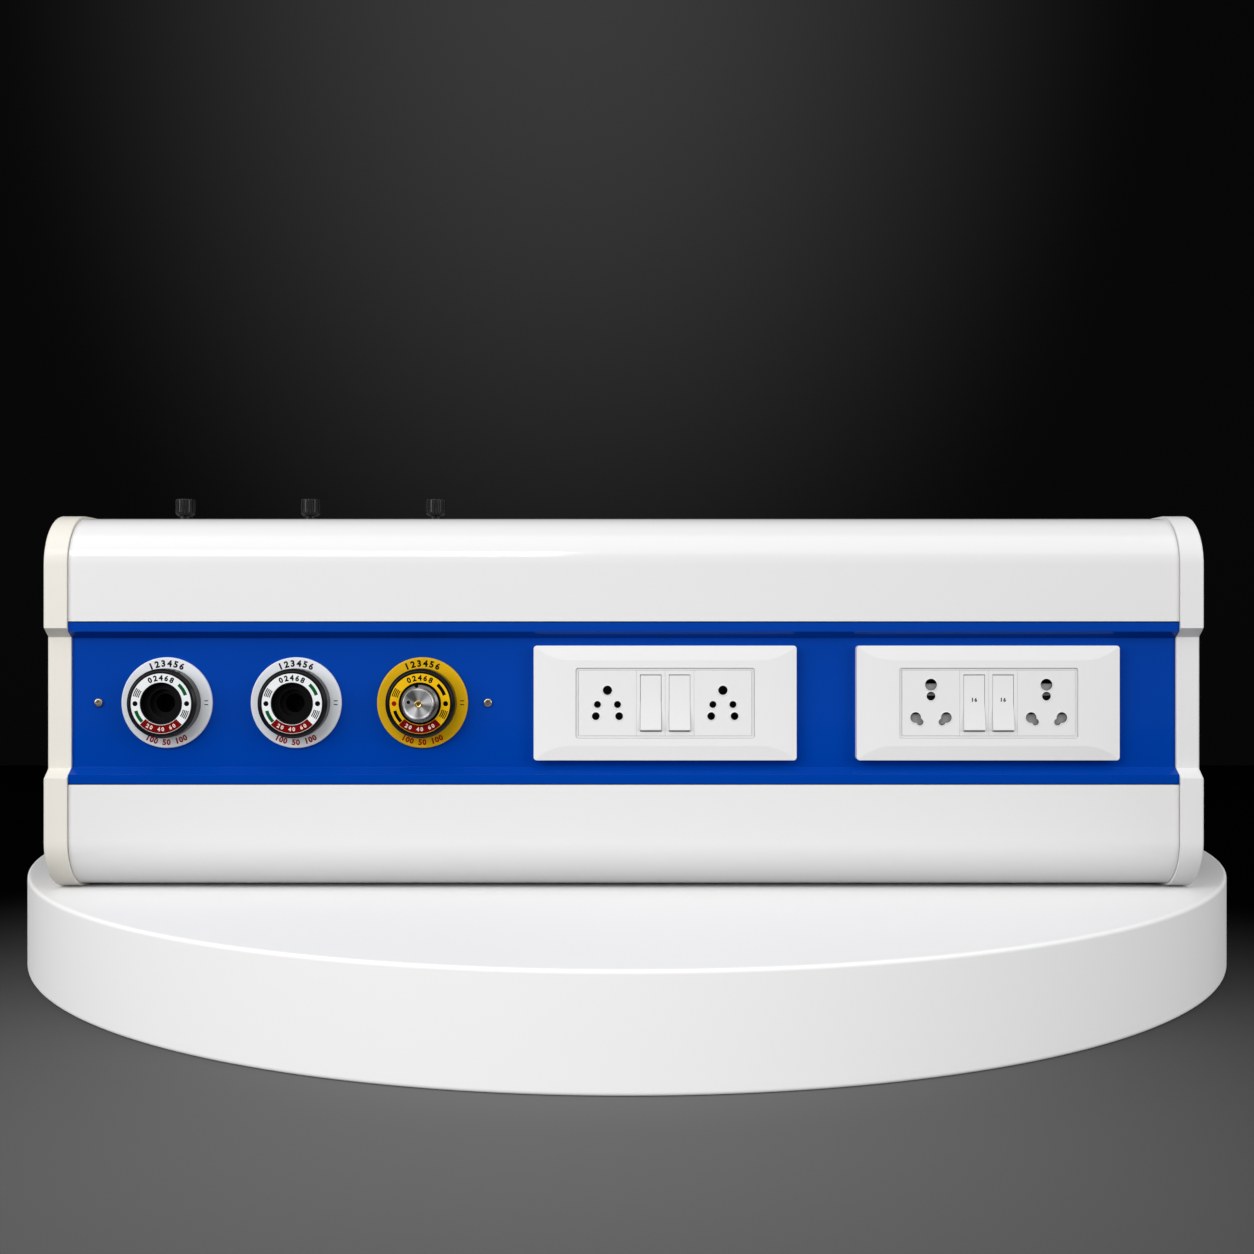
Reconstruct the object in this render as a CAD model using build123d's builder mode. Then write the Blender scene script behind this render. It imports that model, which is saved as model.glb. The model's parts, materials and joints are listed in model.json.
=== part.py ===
from build123d import *
from math import hypot, radians, tan
import os

# Bed head unit: a wall-hung panel with gas outlets, valves, sockets and switches.
# Millimetres, +Z up. The back lies on the wall plane y = 0 and the front faces -Y.
# A "depth" below is a distance in front of the wall, so its y is minus that value.

# Body extrusions
body_length = 876.0
body_depth = 73.0
body_height = 296.0
corner_radius = 39.0
cover_wall = 1.8
cover_lip = 9.0
edge_gap = 0.4

# Fascia channel between the covers
fascia_height = 127.2
fascia_wall = 2.0
flush_band = 7.2
step_height = 5.1
recess_depth = 9.0
fascia_flange = 7.0

# End caps
cap_length = 18.7
cap_proud = 2.0
cap_wall = 2.5
cap_seam = 0.3
cap_edge_round = 2.0
cap_jog_inset = 4.5
cap_jog_run = 7.1
spigot_length = 12.0
spigot_wall = 2.2
spigot_gap = 0.3

# Wall plate and partition
plate_wall = 2.0
plate_flange = 12.0
plate_end_gap = 1.0
wall_hole_radius = 4.0
wall_hole_end_distance = 58.0
wall_hole_edge_distance = 38.0
cable_entry_width = 70.0
cable_entry_height = 40.0
cable_entry_offset = 23.55
partition_inset = 5.05
partition_wall = 1.5
partition_flange = 14.0
partition_gap = 2.3

# Clear lengths along the row: left end, three outlets, two plates, right end
row_gaps = (39.7, 30.5, 28.2, 52.55, 47.5, 46.55)

# Gas section
bracket_wall = 2.5
bracket_height = 84.0
bracket_flange = 12.0
bracket_screw_gaps = (18.5, 15.8)
bracket_overhang = 9.0
fascia_screw_radius = 2.0
fascia_screw_head_radius = 3.3
fascia_screw_head_height = 2.2
fascia_screw_length = 14.0
screw_recess_width = 0.8
screw_boss_radius = 4.0
screw_boss_height = 6.0

ring_radius = 36.0
ring_thickness = 3.0
ring_edge = 0.8
spigot_radius = 15.9
hole_clearance = 0.4
turning_clearance = 0.1
flange_radius = 23.0
flange_thickness = 3.5
block_radius = 18.0
block_back_depth = 18.0
spigot_reach = 10.0
well_step_radius = 11.0
well_step_depth = 5.0
probe_radius = 7.5
probe_length = 23.0
seat_wall = 3.0
seat_hole_radius = 3.6
chamber_radius = 5.5
chamber_back_wall = 6.0

collar_radius = 27.4
collar_height = 13.7
collar_chamfer = 2.0
collar_lift = 0.3
dial_radius = 23.6
dial_thickness = 0.8
dial_inner_radius = 16.6

poppet_pin_radius = 3.2
poppet_pin_recess = 1.0
poppet_head_radius = 5.2
poppet_head_length = 4.0
spring_wire = 0.9
spring_radius = 3.9
spring_turns = 6

plug_head_radius = 12.3
plug_head_reach = 10.0
plug_skirt_radius = 14.9
plug_rim = 1.2
plug_dish = 1.6
plug_tip_gap = 0.6
plug_key_radius = 2.2
plug_key_depth = 5.0
plug_mark_radius = 1.5
plug_mark_offset = 7.6
plug_clearance = 0.1
plug_neck_lift = 1.0

# Valves on the flat top, each offset along the row from its outlet
valve_depth = 27.0
valve_offsets = (2.9, 3.0, 5.4)
valve_block_across = 22.0
valve_block_height = 26.0
valve_shoulder_radius = 6.8
valve_shoulder_height = 2.2
valve_bush_radius = 5.5
valve_bush_rise = 2.2
stem_radius = 3.0
stem_clearance = 0.05
needle_length = 4.0
needle_gap = 1.0
needle_tip_radius = 0.75
knob_radius = 7.9
knob_height = 14.0
knob_lift = 3.0
knob_flutes = 18
knob_flute_radius = 0.7
knob_crown = 0.9
knob_skirt = 1.2
knob_cap_wall = 4.0
tail_radius = 5.0
tail_bore_radius = 3.5
pipe_radius = 5.0
pipe_wall = 1.0
pipe_seat = 4.0
pipe_clearance = 0.05

# Socket and switch plates
cover_plate_side_border = 33.25
cover_plate_end_border = 17.55
cover_plate_depth = 9.5
cover_plate_wall = 2.0
cover_plate_crown = 3.0
cover_plate_bevel = 11.5
cover_plate_sweep = 28.0
cover_plate_corner = 2.5
opening_side_margin = 2.25
opening_end_margin = 1.95
frame_side_border = 16.5
frame_end_border = 7.3
frame_base = 2.0
frame_rim_gap = 0.2
frame_rim_rise = 8.4
module_width = 22.75
module_count = 6
module_height = 51.5
module_gap = 0.1
module_front = 8.9
module_end_inset = 2.25
module_body_inset = 0.8
module_body_depth = 36.0
frame_screw_radius = 1.7
frame_screw_head_radius = 3.2
frame_screw_head_height = 1.9
frame_screw_length = 9.0
cutout_gap = 0.6

# Sockets
socket_front_wall = 2.2
socket_bore_depth = 24.0
lip_width = 0.7
lip_height = 0.4
small_earth = (0.0, 10.1, 3.65)
small_upper = (7.9, -1.1, 2.75)
small_lower = (9.2, -10.3, 3.05)
large_earth = (0.0, 14.5, 4.65)
large_earth_low = (0.0, 5.5, 3.45)
large_pin = (12.1, -11.4, 4.2)
large_pin_low = (8.7, -14.9, 2.7)
sleeve_wall = 0.5
sleeve_length = 12.0
sleeve_gap = 0.05

# Shutters of the larger sockets
shutter_wall = 2.0
shutter_gap = 0.4
shutter_down = 7.0
shutter_up = 5.2
shutter_block_bottom = 5.95
shutter_block_top = 15.25
shutter_block_half = 7.5
shutter_blade_half = 17.2
shutter_blade_bottom = -17.4
shutter_blade_top = -8.6
shutter_arm_inner = 4.9
shutter_cavity_half = 18.0
shutter_nose = 1.2

# Rocker switches
rocker_width = 16.4
rocker_end_radius = 22.2
rocker_side_gap = 0.2
rocker_end_gap = 0.3
rocker_tilt = 9.0
rocker_pivot_depth = 4.4
rocker_front_inset = 0.4
rocker_back = 3.0
rocker_trim = 2.0
rocker_pin_radius = 1.5
rocker_pin_length = 1.2
rocker_pin_clearance = 0.05
switch_cavity_depth = 12.5

# Sizes that follow
left_end = -body_length / 2
right_end = body_length / 2
front_depth = body_depth
recess_front = front_depth - recess_depth
fascia_back = recess_front - fascia_wall
bracket_back = fascia_back - bracket_wall
ring_front = recess_front + ring_thickness
collar_back = ring_front + collar_lift
collar_front = collar_back + collar_height
well_front = ring_front + spigot_reach - ring_thickness
probe_mouth = well_front - well_step_depth
probe_end = probe_mouth - probe_length
chamber_front = probe_end - seat_wall
chamber_back = block_back_depth + chamber_back_wall
cover_edge = fascia_height / 2 + edge_gap
cover_under = body_height / 2 - cover_wall
module_front_depth = recess_front + module_front
frame_front = recess_front + frame_base
valve_block_top = cover_under - valve_shoulder_height
valve_block_bottom = valve_block_top - valve_block_height
knob_bottom = body_height / 2 + knob_lift
pivot_depth = module_front_depth - rocker_pivot_depth
modules_width = module_width * module_count
module_body_height = module_height - 2 * module_end_inset
cover_opening_width = modules_width + 2 * opening_side_margin
cover_opening_height = module_height + 2 * opening_end_margin
cover_plate_width = cover_opening_width + 2 * cover_plate_side_border
cover_plate_height = cover_opening_height + 2 * cover_plate_end_border
frame_width = cover_opening_width + 2 * frame_side_border
frame_height = cover_opening_height + 2 * frame_end_border
frame_screw_offset = (modules_width + frame_width) / 4

# Places along the row: its gaps stretch alike to fill the body's length
row_widths = [2 * ring_radius] * 3 + [cover_plate_width] * 2
gap_stretch = (body_length - sum(row_widths)) / sum(row_gaps)
row_positions = []
row_end = left_end
for gap, width in zip(row_gaps, row_widths):
    row_positions.append(row_end + gap * gap_stretch + width / 2)
    row_end += gap * gap_stretch + width
outlet_positions = row_positions[:3]
plate_positions = row_positions[3:]
valve_positions = [x + offset for x, offset in zip(outlet_positions, valve_offsets)]
bracket_screw_positions = [
    outlet_positions[0] - ring_radius - bracket_screw_gaps[0] * gap_stretch,
    outlet_positions[-1] + ring_radius + bracket_screw_gaps[1] * gap_stretch,
]
partition_x = plate_positions[0] - cover_plate_width / 2 + partition_inset
cable_entry_x = plate_positions[0] + cover_plate_width / 2 + cable_entry_offset


def front_plane(depth):
    """Plane facing the room at a depth in front of the wall: x to the right, y up."""
    return Plane.XZ.offset(depth)


def side_plane(x):
    """Section plane across the body at x: sketch x is +Y, sketch y is +Z."""
    return Plane.YZ.offset(x)


def level_plane(z):
    """Level plane at a height z."""
    return Plane.XY.offset(z)


def body_outline(inset):
    """Body section with two rounded front corners, drawn inset from its outer faces."""
    Rectangle(body_depth - inset, body_height - 2 * inset, align=(Align.MAX, Align.CENTER))


def round_front_corners(sketch, radius):
    """Round the two foremost corners of a section."""
    fillet(sketch.vertices().group_by(Axis.X)[0], radius)


def save(part, name):
    """Label a finished piece and write its file."""
    part.label = name
    export_step(part, f"parts/{name}.step")
    print(f"{name}: {part.volume / 1000:.2f} cm3")


os.makedirs("parts", exist_ok=True)


# Covers
with BuildSketch(side_plane(left_end)) as outer_section:
    body_outline(0.0)
    round_front_corners(outer_section, corner_radius)

with BuildSketch(side_plane(left_end)) as inner_section:
    body_outline(cover_wall)
    round_front_corners(inner_section, corner_radius - cover_wall)

with BuildSketch(side_plane(left_end)) as cover_section:
    add(outer_section.sketch_local)
    add(inner_section.sketch_local, mode=Mode.SUBTRACT)
    with Locations((0, cover_edge)):
        Rectangle(body_depth, body_height, align=(Align.MAX, Align.MIN), mode=Mode.INTERSECT)
    with Locations((-body_depth, cover_edge)):
        Rectangle(cover_lip, cover_wall, align=(Align.MIN, Align.MIN))

with BuildPart() as bottom_cover:
    extrude(mirror(cover_section.sketch, about=Plane.XY, mode=Mode.PRIVATE), amount=body_length)

with BuildPart() as top_cover:
    extrude(cover_section.sketch, amount=body_length)
    with BuildSketch(level_plane(cover_under)):
        with Locations(*[(x, -valve_depth) for x in valve_positions]):
            Circle(valve_bush_radius + hole_clearance)
    extrude(amount=cover_wall, mode=Mode.SUBTRACT)

save(top_cover.part, "top_cover")
save(bottom_cover.part, "bottom_cover")


# Fascia: one channel section, then its cut-outs
slope_length = hypot(step_height, recess_depth)
slope_shift = fascia_wall * (slope_length - step_height) / recess_depth
band_end = fascia_height / 2 - flush_band
recess_end = band_end - step_height
fascia_edge = fascia_height / 2

with BuildSketch(side_plane(left_end)) as fascia_section:
    with BuildLine():
        Polyline(
            (-recess_front, 0),
            (-recess_front, recess_end),
            (-front_depth, band_end),
            (-front_depth, fascia_edge),
            (-front_depth + fascia_flange, fascia_edge),
            (-front_depth + fascia_flange, fascia_edge - fascia_wall),
            (-front_depth + fascia_wall, fascia_edge - fascia_wall),
            (-front_depth + fascia_wall, band_end + slope_shift),
            (-recess_front + fascia_wall, recess_end + slope_shift),
            (-recess_front + fascia_wall, 0),
            close=True,
        )
    make_face()
    mirror(about=Plane.XZ)

with BuildPart() as fascia:
    extrude(fascia_section.sketch, amount=body_length)
    with BuildSketch(front_plane(fascia_back)):
        with Locations(*[(x, 0) for x in outlet_positions]):
            Circle(spigot_radius + hole_clearance)
        with Locations(*[(x, 0) for x in bracket_screw_positions]):
            Circle(fascia_screw_radius + hole_clearance)
        for plate_x in plate_positions:
            with Locations((plate_x, 0)):
                Rectangle(modules_width + cutout_gap, module_body_height + cutout_gap)
            for side in (-1, 1):
                with Locations((plate_x + side * frame_screw_offset, 0)):
                    Circle(frame_screw_radius + turning_clearance)
    extrude(amount=fascia_wall, mode=Mode.SUBTRACT)

save(fascia.part, "fascia")


# End caps: a shell with the body's outline, a little proud of it
cap_depth = body_depth + cap_proud
cap_height = body_height + 2 * cap_proud
cap_inner_x = right_end + cap_seam
cap_jog_outer = fascia_edge - cap_jog_inset
cap_jog_inner = cap_jog_outer - cap_jog_run


def cap_outline(inset):
    """Cap section with the recess jog in its front edge, inset from its outer faces."""
    with BuildSketch(side_plane(cap_inner_x)) as outline:
        with BuildLine():
            Polyline(
                (-inset, 0),
                (-inset, cap_height / 2 - inset),
                (-cap_depth + inset, cap_height / 2 - inset),
                (-cap_depth + inset, cap_jog_outer + inset / 2),
                (-cap_depth + recess_depth + inset, cap_jog_inner + inset / 2),
                (-cap_depth + recess_depth + inset, 0),
                close=True,
            )
        make_face()
        mirror(about=Plane.XZ)
        outer_corners = vertices().group_by(Axis.X)[0].sort_by(Axis.Y)
        fillet([outer_corners[0], outer_corners[-1]], corner_radius + cap_proud - inset)
    return outline.sketch


with BuildPart() as end_cap_right:
    extrude(cap_outline(0.0), amount=cap_length)
    fillet(end_cap_right.faces().sort_by(Axis.X)[-1].edges(), cap_edge_round)
    extrude(cap_outline(cap_wall), amount=cap_length - cap_wall, mode=Mode.SUBTRACT)
    spigot_inset = cover_wall + spigot_gap
    with BuildSketch(side_plane(cap_inner_x - spigot_length)):
        body_outline(spigot_inset)
        fillet(vertices().group_by(Axis.X)[0], corner_radius - spigot_inset)
        with BuildSketch(mode=Mode.SUBTRACT):
            body_outline(spigot_inset + spigot_wall)
            fillet(vertices().group_by(Axis.X)[0], corner_radius - spigot_inset - spigot_wall)
        Rectangle(3 * body_depth, 2 * cover_edge + 2 * cover_lip, mode=Mode.SUBTRACT)
        with Locations((-plate_flange - spigot_gap, 0)):
            Rectangle(body_depth, body_height, align=(Align.MAX, Align.CENTER), mode=Mode.INTERSECT)
    extrude(amount=spigot_length + cap_length - cap_wall)

with BuildPart() as end_cap_left:
    mirror(end_cap_right.part, about=Plane.YZ)

save(end_cap_left.part, "end_cap_left")
save(end_cap_right.part, "end_cap_right")


# Wall plate: a folded sheet with top and bottom flanges under the covers
plate_length = body_length - 2 * plate_end_gap
tail_height = valve_block_bottom + valve_block_height / 2

with BuildPart() as wall_plate:
    with BuildSketch(side_plane(-plate_length / 2)):
        with BuildLine():
            Polyline(
                (0, 0),
                (0, cover_under),
                (-plate_flange, cover_under),
                (-plate_flange, cover_under - plate_wall),
                (-plate_wall, cover_under - plate_wall),
                (-plate_wall, 0),
                close=True,
            )
        make_face()
        mirror(about=Plane.XZ)
    extrude(amount=plate_length)
    with BuildSketch(front_plane(0)):
        with GridLocations(
            body_length - 2 * wall_hole_end_distance,
            body_height - 2 * wall_hole_edge_distance,
            2,
            2,
        ):
            Circle(wall_hole_radius)
        with Locations((cable_entry_x, 0)):
            RectangleRounded(cable_entry_width, cable_entry_height, cable_entry_height / 4)
        with Locations(*[(x, tail_height) for x in valve_positions]):
            Circle(tail_radius + hole_clearance)
    extrude(amount=plate_wall, mode=Mode.SUBTRACT)

save(wall_plate.part, "wall_plate")


# Partition between the gas and the electrical sections
partition_top = recess_end - partition_gap

with BuildPart() as partition:
    with BuildSketch(level_plane(-partition_top)):
        with BuildLine():
            Polyline(
                (partition_x, -plate_wall),
                (partition_x + partition_flange, -plate_wall),
                (partition_x + partition_flange, -plate_wall - partition_wall),
                (partition_x + partition_wall, -plate_wall - partition_wall),
                (partition_x + partition_wall, -fascia_back + partition_wall),
                (partition_x + partition_flange, -fascia_back + partition_wall),
                (partition_x + partition_flange, -fascia_back),
                (partition_x, -fascia_back),
                close=True,
            )
        make_face()
    extrude(amount=2 * partition_top)

save(partition.part, "partition")


# Outlet bracket behind the fascia
with BuildPart() as outlet_bracket:
    with BuildSketch(side_plane(bracket_screw_positions[0] - bracket_overhang)):
        with BuildLine():
            Polyline(
                (-fascia_back, 0),
                (-fascia_back, bracket_height / 2),
                (-bracket_back + bracket_flange, bracket_height / 2),
                (-bracket_back + bracket_flange, bracket_height / 2 - bracket_wall),
                (-bracket_back, bracket_height / 2 - bracket_wall),
                (-bracket_back, 0),
                close=True,
            )
        make_face()
        mirror(about=Plane.XZ)
    extrude(amount=bracket_screw_positions[1] - bracket_screw_positions[0] + 2 * bracket_overhang)
    with BuildSketch(front_plane(bracket_back - screw_boss_height)):
        with Locations(*[(x, 0) for x in bracket_screw_positions]):
            Circle(screw_boss_radius)
    extrude(amount=screw_boss_height)
    with BuildSketch(front_plane(bracket_back - screw_boss_height)):
        with Locations(*[(x, 0) for x in outlet_positions]):
            Circle(spigot_radius + hole_clearance)
        with Locations(*[(x, 0) for x in bracket_screw_positions]):
            Circle(fascia_screw_radius)
    extrude(amount=screw_boss_height + bracket_wall, mode=Mode.SUBTRACT)

save(outlet_bracket.part, "outlet_bracket")


def cross_recess(width, length):
    """Cross of two bars, the outline of a screw head's recess."""
    Rectangle(length, width)
    Rectangle(width, length)


# Fascia screws: pan heads on the fascia, shanks in the bracket's bosses
with BuildPart() as fascia_screws:
    for screw_x in bracket_screw_positions:
        with BuildSketch(front_plane(recess_front)):
            with Locations((screw_x, 0)):
                Circle(fascia_screw_head_radius)
        extrude(amount=fascia_screw_head_height)
    fillet(faces().group_by(Axis.Y)[0].edges(), fascia_screw_head_height / 2)
    with BuildSketch(front_plane(recess_front + fascia_screw_head_height / 2)):
        for screw_x in bracket_screw_positions:
            with Locations((screw_x, 0)):
                cross_recess(screw_recess_width, fascia_screw_head_radius)
    extrude(amount=fascia_screw_head_height, mode=Mode.SUBTRACT)
    with BuildSketch(front_plane(recess_front - fascia_screw_length)):
        with Locations(*[(x, 0) for x in bracket_screw_positions]):
            Circle(fascia_screw_radius - pipe_clearance)
    extrude(amount=fascia_screw_length)

save(fascia_screws.part, "fascia_screws")


def turned(x, profile_points):
    """Solid turned about the outlet axis at x, from (radius, depth) points."""
    with BuildSketch(Plane((x, 0, 0), x_dir=(1, 0, 0), z_dir=(0, 0, 1))) as profile:
        with BuildLine():
            Polyline(*[(radius, -depth) for radius, depth in profile_points], close=True)
        make_face()
    revolve(profile.sketch, axis=Axis((x, 0, 0), (0, 1, 0)))


# Gas outlets: body, outer ring, release collar, dial, poppet and spring
for number, (outlet_x, valve_x) in enumerate(zip(outlet_positions, valve_positions), start=1):
    with BuildPart() as outlet_body:
        turned(
            outlet_x,
            [
                (0, block_back_depth),
                (block_radius, block_back_depth),
                (block_radius, bracket_back - flange_thickness),
                (flange_radius, bracket_back - flange_thickness),
                (flange_radius, bracket_back),
                (spigot_radius, bracket_back),
                (spigot_radius, well_front),
                (well_step_radius, well_front),
                (well_step_radius, probe_mouth),
                (probe_radius, probe_mouth),
                (probe_radius, probe_end),
                (seat_hole_radius, probe_end),
                (seat_hole_radius, chamber_front),
                (chamber_radius, chamber_front),
                (chamber_radius, chamber_back),
                (0, chamber_back),
            ],
        )
        with BuildSketch(level_plane(0)):
            with Locations((valve_x, -valve_depth)):
                Circle(pipe_radius - pipe_wall)
        extrude(amount=block_radius, mode=Mode.SUBTRACT)
        with BuildSketch(level_plane(block_radius - pipe_seat)):
            with Locations((valve_x, -valve_depth)):
                Circle(pipe_radius + pipe_clearance)
        extrude(amount=pipe_seat, mode=Mode.SUBTRACT)
    save(outlet_body.part, f"outlet_body_{number}")

    with BuildPart() as outlet_ring:
        turned(
            outlet_x,
            [
                (spigot_radius + turning_clearance, recess_front),
                (ring_radius, recess_front),
                (ring_radius, ring_front - ring_edge),
                (ring_radius - ring_edge, ring_front),
                (spigot_radius + turning_clearance, ring_front),
            ],
        )
    save(outlet_ring.part, f"outlet_ring_{number}")

    with BuildPart() as release_collar:
        turned(
            outlet_x,
            [
                (spigot_radius + turning_clearance, collar_back),
                (collar_radius, collar_back),
                (collar_radius, collar_front - collar_chamfer),
                (collar_radius - collar_chamfer, collar_front),
                (dial_radius + turning_clearance, collar_front),
                (dial_radius + turning_clearance, collar_front - dial_thickness),
                (spigot_radius + turning_clearance, collar_front - dial_thickness),
            ],
        )
    save(release_collar.part, f"release_collar_{number}")

    with BuildPart() as dial:
        with BuildSketch(front_plane(collar_front - dial_thickness)):
            with Locations((outlet_x, 0)):
                Circle(dial_radius)
                Circle(dial_inner_radius, mode=Mode.SUBTRACT)
        extrude(amount=dial_thickness)
    save(dial.part, f"dial_{number}")

    with BuildPart() as poppet:
        turned(
            outlet_x,
            [
                (0, chamber_front - poppet_head_length),
                (poppet_head_radius, chamber_front - poppet_head_length),
                (poppet_head_radius, chamber_front),
                (poppet_pin_radius, chamber_front),
                (poppet_pin_radius, probe_end - poppet_pin_recess),
                (0, probe_end - poppet_pin_recess),
            ],
        )
    save(poppet.part, f"poppet_{number}")

    spring_space = chamber_front - poppet_head_length - chamber_back - spring_wire
    spring_start = chamber_back + spring_wire / 2
    with BuildPart() as poppet_spring:
        with BuildLine() as coil:
            Helix(
                pitch=spring_space / spring_turns,
                height=spring_space,
                radius=spring_radius,
                center=(outlet_x, -spring_start, 0),
                direction=(0, -1, 0),
            )
        with BuildSketch(Plane(origin=coil.line @ 0, z_dir=coil.line % 0)):
            Circle(spring_wire / 2)
        sweep(is_frenet=True)
    save(poppet_spring.part, f"poppet_spring_{number}")


# Chrome plug seated in the last outlet
plug_x = outlet_positions[-1]
plug_front = collar_front + plug_head_reach
plug_tip = probe_end + plug_tip_gap
plug_neck = collar_front + plug_neck_lift
plug_shank_radius = probe_radius - plug_clearance
plug_step_radius = well_step_radius - plug_clearance

with BuildPart() as vacuum_plug:
    turned(
        plug_x,
        [
            (0, plug_tip),
            (plug_shank_radius - plug_rim, plug_tip),
            (plug_shank_radius, plug_tip + plug_rim),
            (plug_shank_radius, probe_mouth + plug_clearance),
            (plug_step_radius, probe_mouth + plug_clearance),
            (plug_step_radius, well_front + plug_clearance),
            (plug_skirt_radius, well_front + plug_clearance),
            (plug_skirt_radius, plug_neck),
            (plug_head_radius, plug_neck),
            (plug_head_radius, plug_front - plug_rim / 2),
            (plug_head_radius - plug_rim / 2, plug_front),
            (plug_head_radius - plug_rim, plug_front),
            (plug_key_radius + plug_rim, plug_front - plug_dish),
            (plug_key_radius, plug_front - plug_dish),
            (plug_key_radius, plug_front - plug_dish - plug_key_depth),
            (0, plug_front - plug_dish - plug_key_depth),
        ],
    )
    with BuildSketch(front_plane(plug_front - 2 * plug_dish)):
        with Locations((plug_x - plug_mark_offset, plug_mark_radius)):
            Circle(plug_mark_radius)
    extrude(amount=2 * plug_dish, mode=Mode.SUBTRACT)

save(vacuum_plug.part, "vacuum_plug")


# Valves under the top cover, with knobs above it
needle_tip = valve_block_bottom + pipe_seat + needle_gap
stem_foot = needle_tip + needle_length
stem_top = knob_bottom + knob_height - knob_cap_wall
bush_top = body_height / 2 + valve_bush_rise

for number, valve_x in enumerate(valve_positions, start=1):
    with BuildPart() as valve_body:
        with BuildSketch(level_plane(valve_block_bottom)):
            with Locations((valve_x, -valve_depth)):
                RegularPolygon(valve_block_across / 2, 6, major_radius=False)
        extrude(amount=valve_block_height)
        with BuildSketch(level_plane(valve_block_top)):
            with Locations((valve_x, -valve_depth)):
                Circle(valve_shoulder_radius)
        extrude(amount=valve_shoulder_height)
        with BuildSketch(level_plane(cover_under)):
            with Locations((valve_x, -valve_depth)):
                Circle(valve_bush_radius)
        extrude(amount=bush_top - cover_under)
        with BuildSketch(front_plane(plate_wall / 4)):
            with Locations((valve_x, tail_height)):
                Circle(tail_radius)
        extrude(amount=valve_depth - valve_block_across / 2)
        with BuildSketch(front_plane(plate_wall / 4)):
            with Locations((valve_x, tail_height)):
                Circle(tail_bore_radius)
        extrude(amount=valve_depth - plate_wall / 4, mode=Mode.SUBTRACT)
        with BuildSketch(level_plane(valve_block_bottom)):
            with Locations((valve_x, -valve_depth)):
                Circle(pipe_radius + pipe_clearance)
        extrude(amount=pipe_seat, mode=Mode.SUBTRACT)
        with BuildSketch(level_plane(valve_block_bottom)):
            with Locations((valve_x, -valve_depth)):
                Circle(stem_radius + stem_clearance)
        extrude(amount=bush_top - valve_block_bottom, mode=Mode.SUBTRACT)
    save(valve_body.part, f"valve_body_{number}")

    with BuildPart() as valve_stem:
        with BuildSketch(level_plane(stem_foot)):
            with Locations((valve_x, -valve_depth)):
                Circle(stem_radius)
        extrude(amount=stem_top - stem_foot)
        with BuildSketch(level_plane(stem_foot)):
            with Locations((valve_x, -valve_depth)):
                Circle(stem_radius)
        with BuildSketch(level_plane(needle_tip)):
            with Locations((valve_x, -valve_depth)):
                Circle(needle_tip_radius)
        loft()
    save(valve_stem.part, f"valve_stem_{number}")

    with BuildPart() as valve_knob:
        with BuildSketch(level_plane(knob_bottom)):
            with Locations((valve_x, -valve_depth)):
                Circle(knob_radius)
        extrude(amount=knob_height)
        fillet(valve_knob.edges().sort_by(Axis.Z)[-1], knob_crown)
        chamfer(valve_knob.edges().sort_by(Axis.Z)[0], knob_skirt)
        with BuildSketch(level_plane(knob_bottom + 2 * knob_skirt)):
            with Locations((valve_x, -valve_depth)):
                with PolarLocations(knob_radius + knob_flute_radius / 3, knob_flutes):
                    Circle(knob_flute_radius)
        extrude(amount=knob_height, mode=Mode.SUBTRACT)
        with BuildSketch(level_plane(knob_bottom)):
            with Locations((valve_x, -valve_depth)):
                Circle(stem_radius + stem_clearance)
        extrude(amount=stem_top - knob_bottom, mode=Mode.SUBTRACT)
    save(valve_knob.part, f"valve_knob_{number}")

    with BuildPart() as gas_pipe:
        pipe_bottom = block_radius - pipe_seat
        pipe_top = valve_block_bottom + pipe_seat
        with BuildSketch(level_plane(pipe_bottom)):
            with Locations((valve_x, -valve_depth)):
                Circle(pipe_radius)
                Circle(pipe_radius - pipe_wall, mode=Mode.SUBTRACT)
        extrude(amount=pipe_top - pipe_bottom)
    save(gas_pipe.part, f"gas_pipe_{number}")


# Socket plates: crowned cover, support frame, then the modules in it
cover_front = recess_front + cover_plate_depth
cover_side_front = cover_front - cover_plate_crown
cover_half_width = cover_plate_width / 2
cover_half_height = cover_plate_height / 2
cover_half_flat = cover_half_width - cover_plate_sweep

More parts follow.
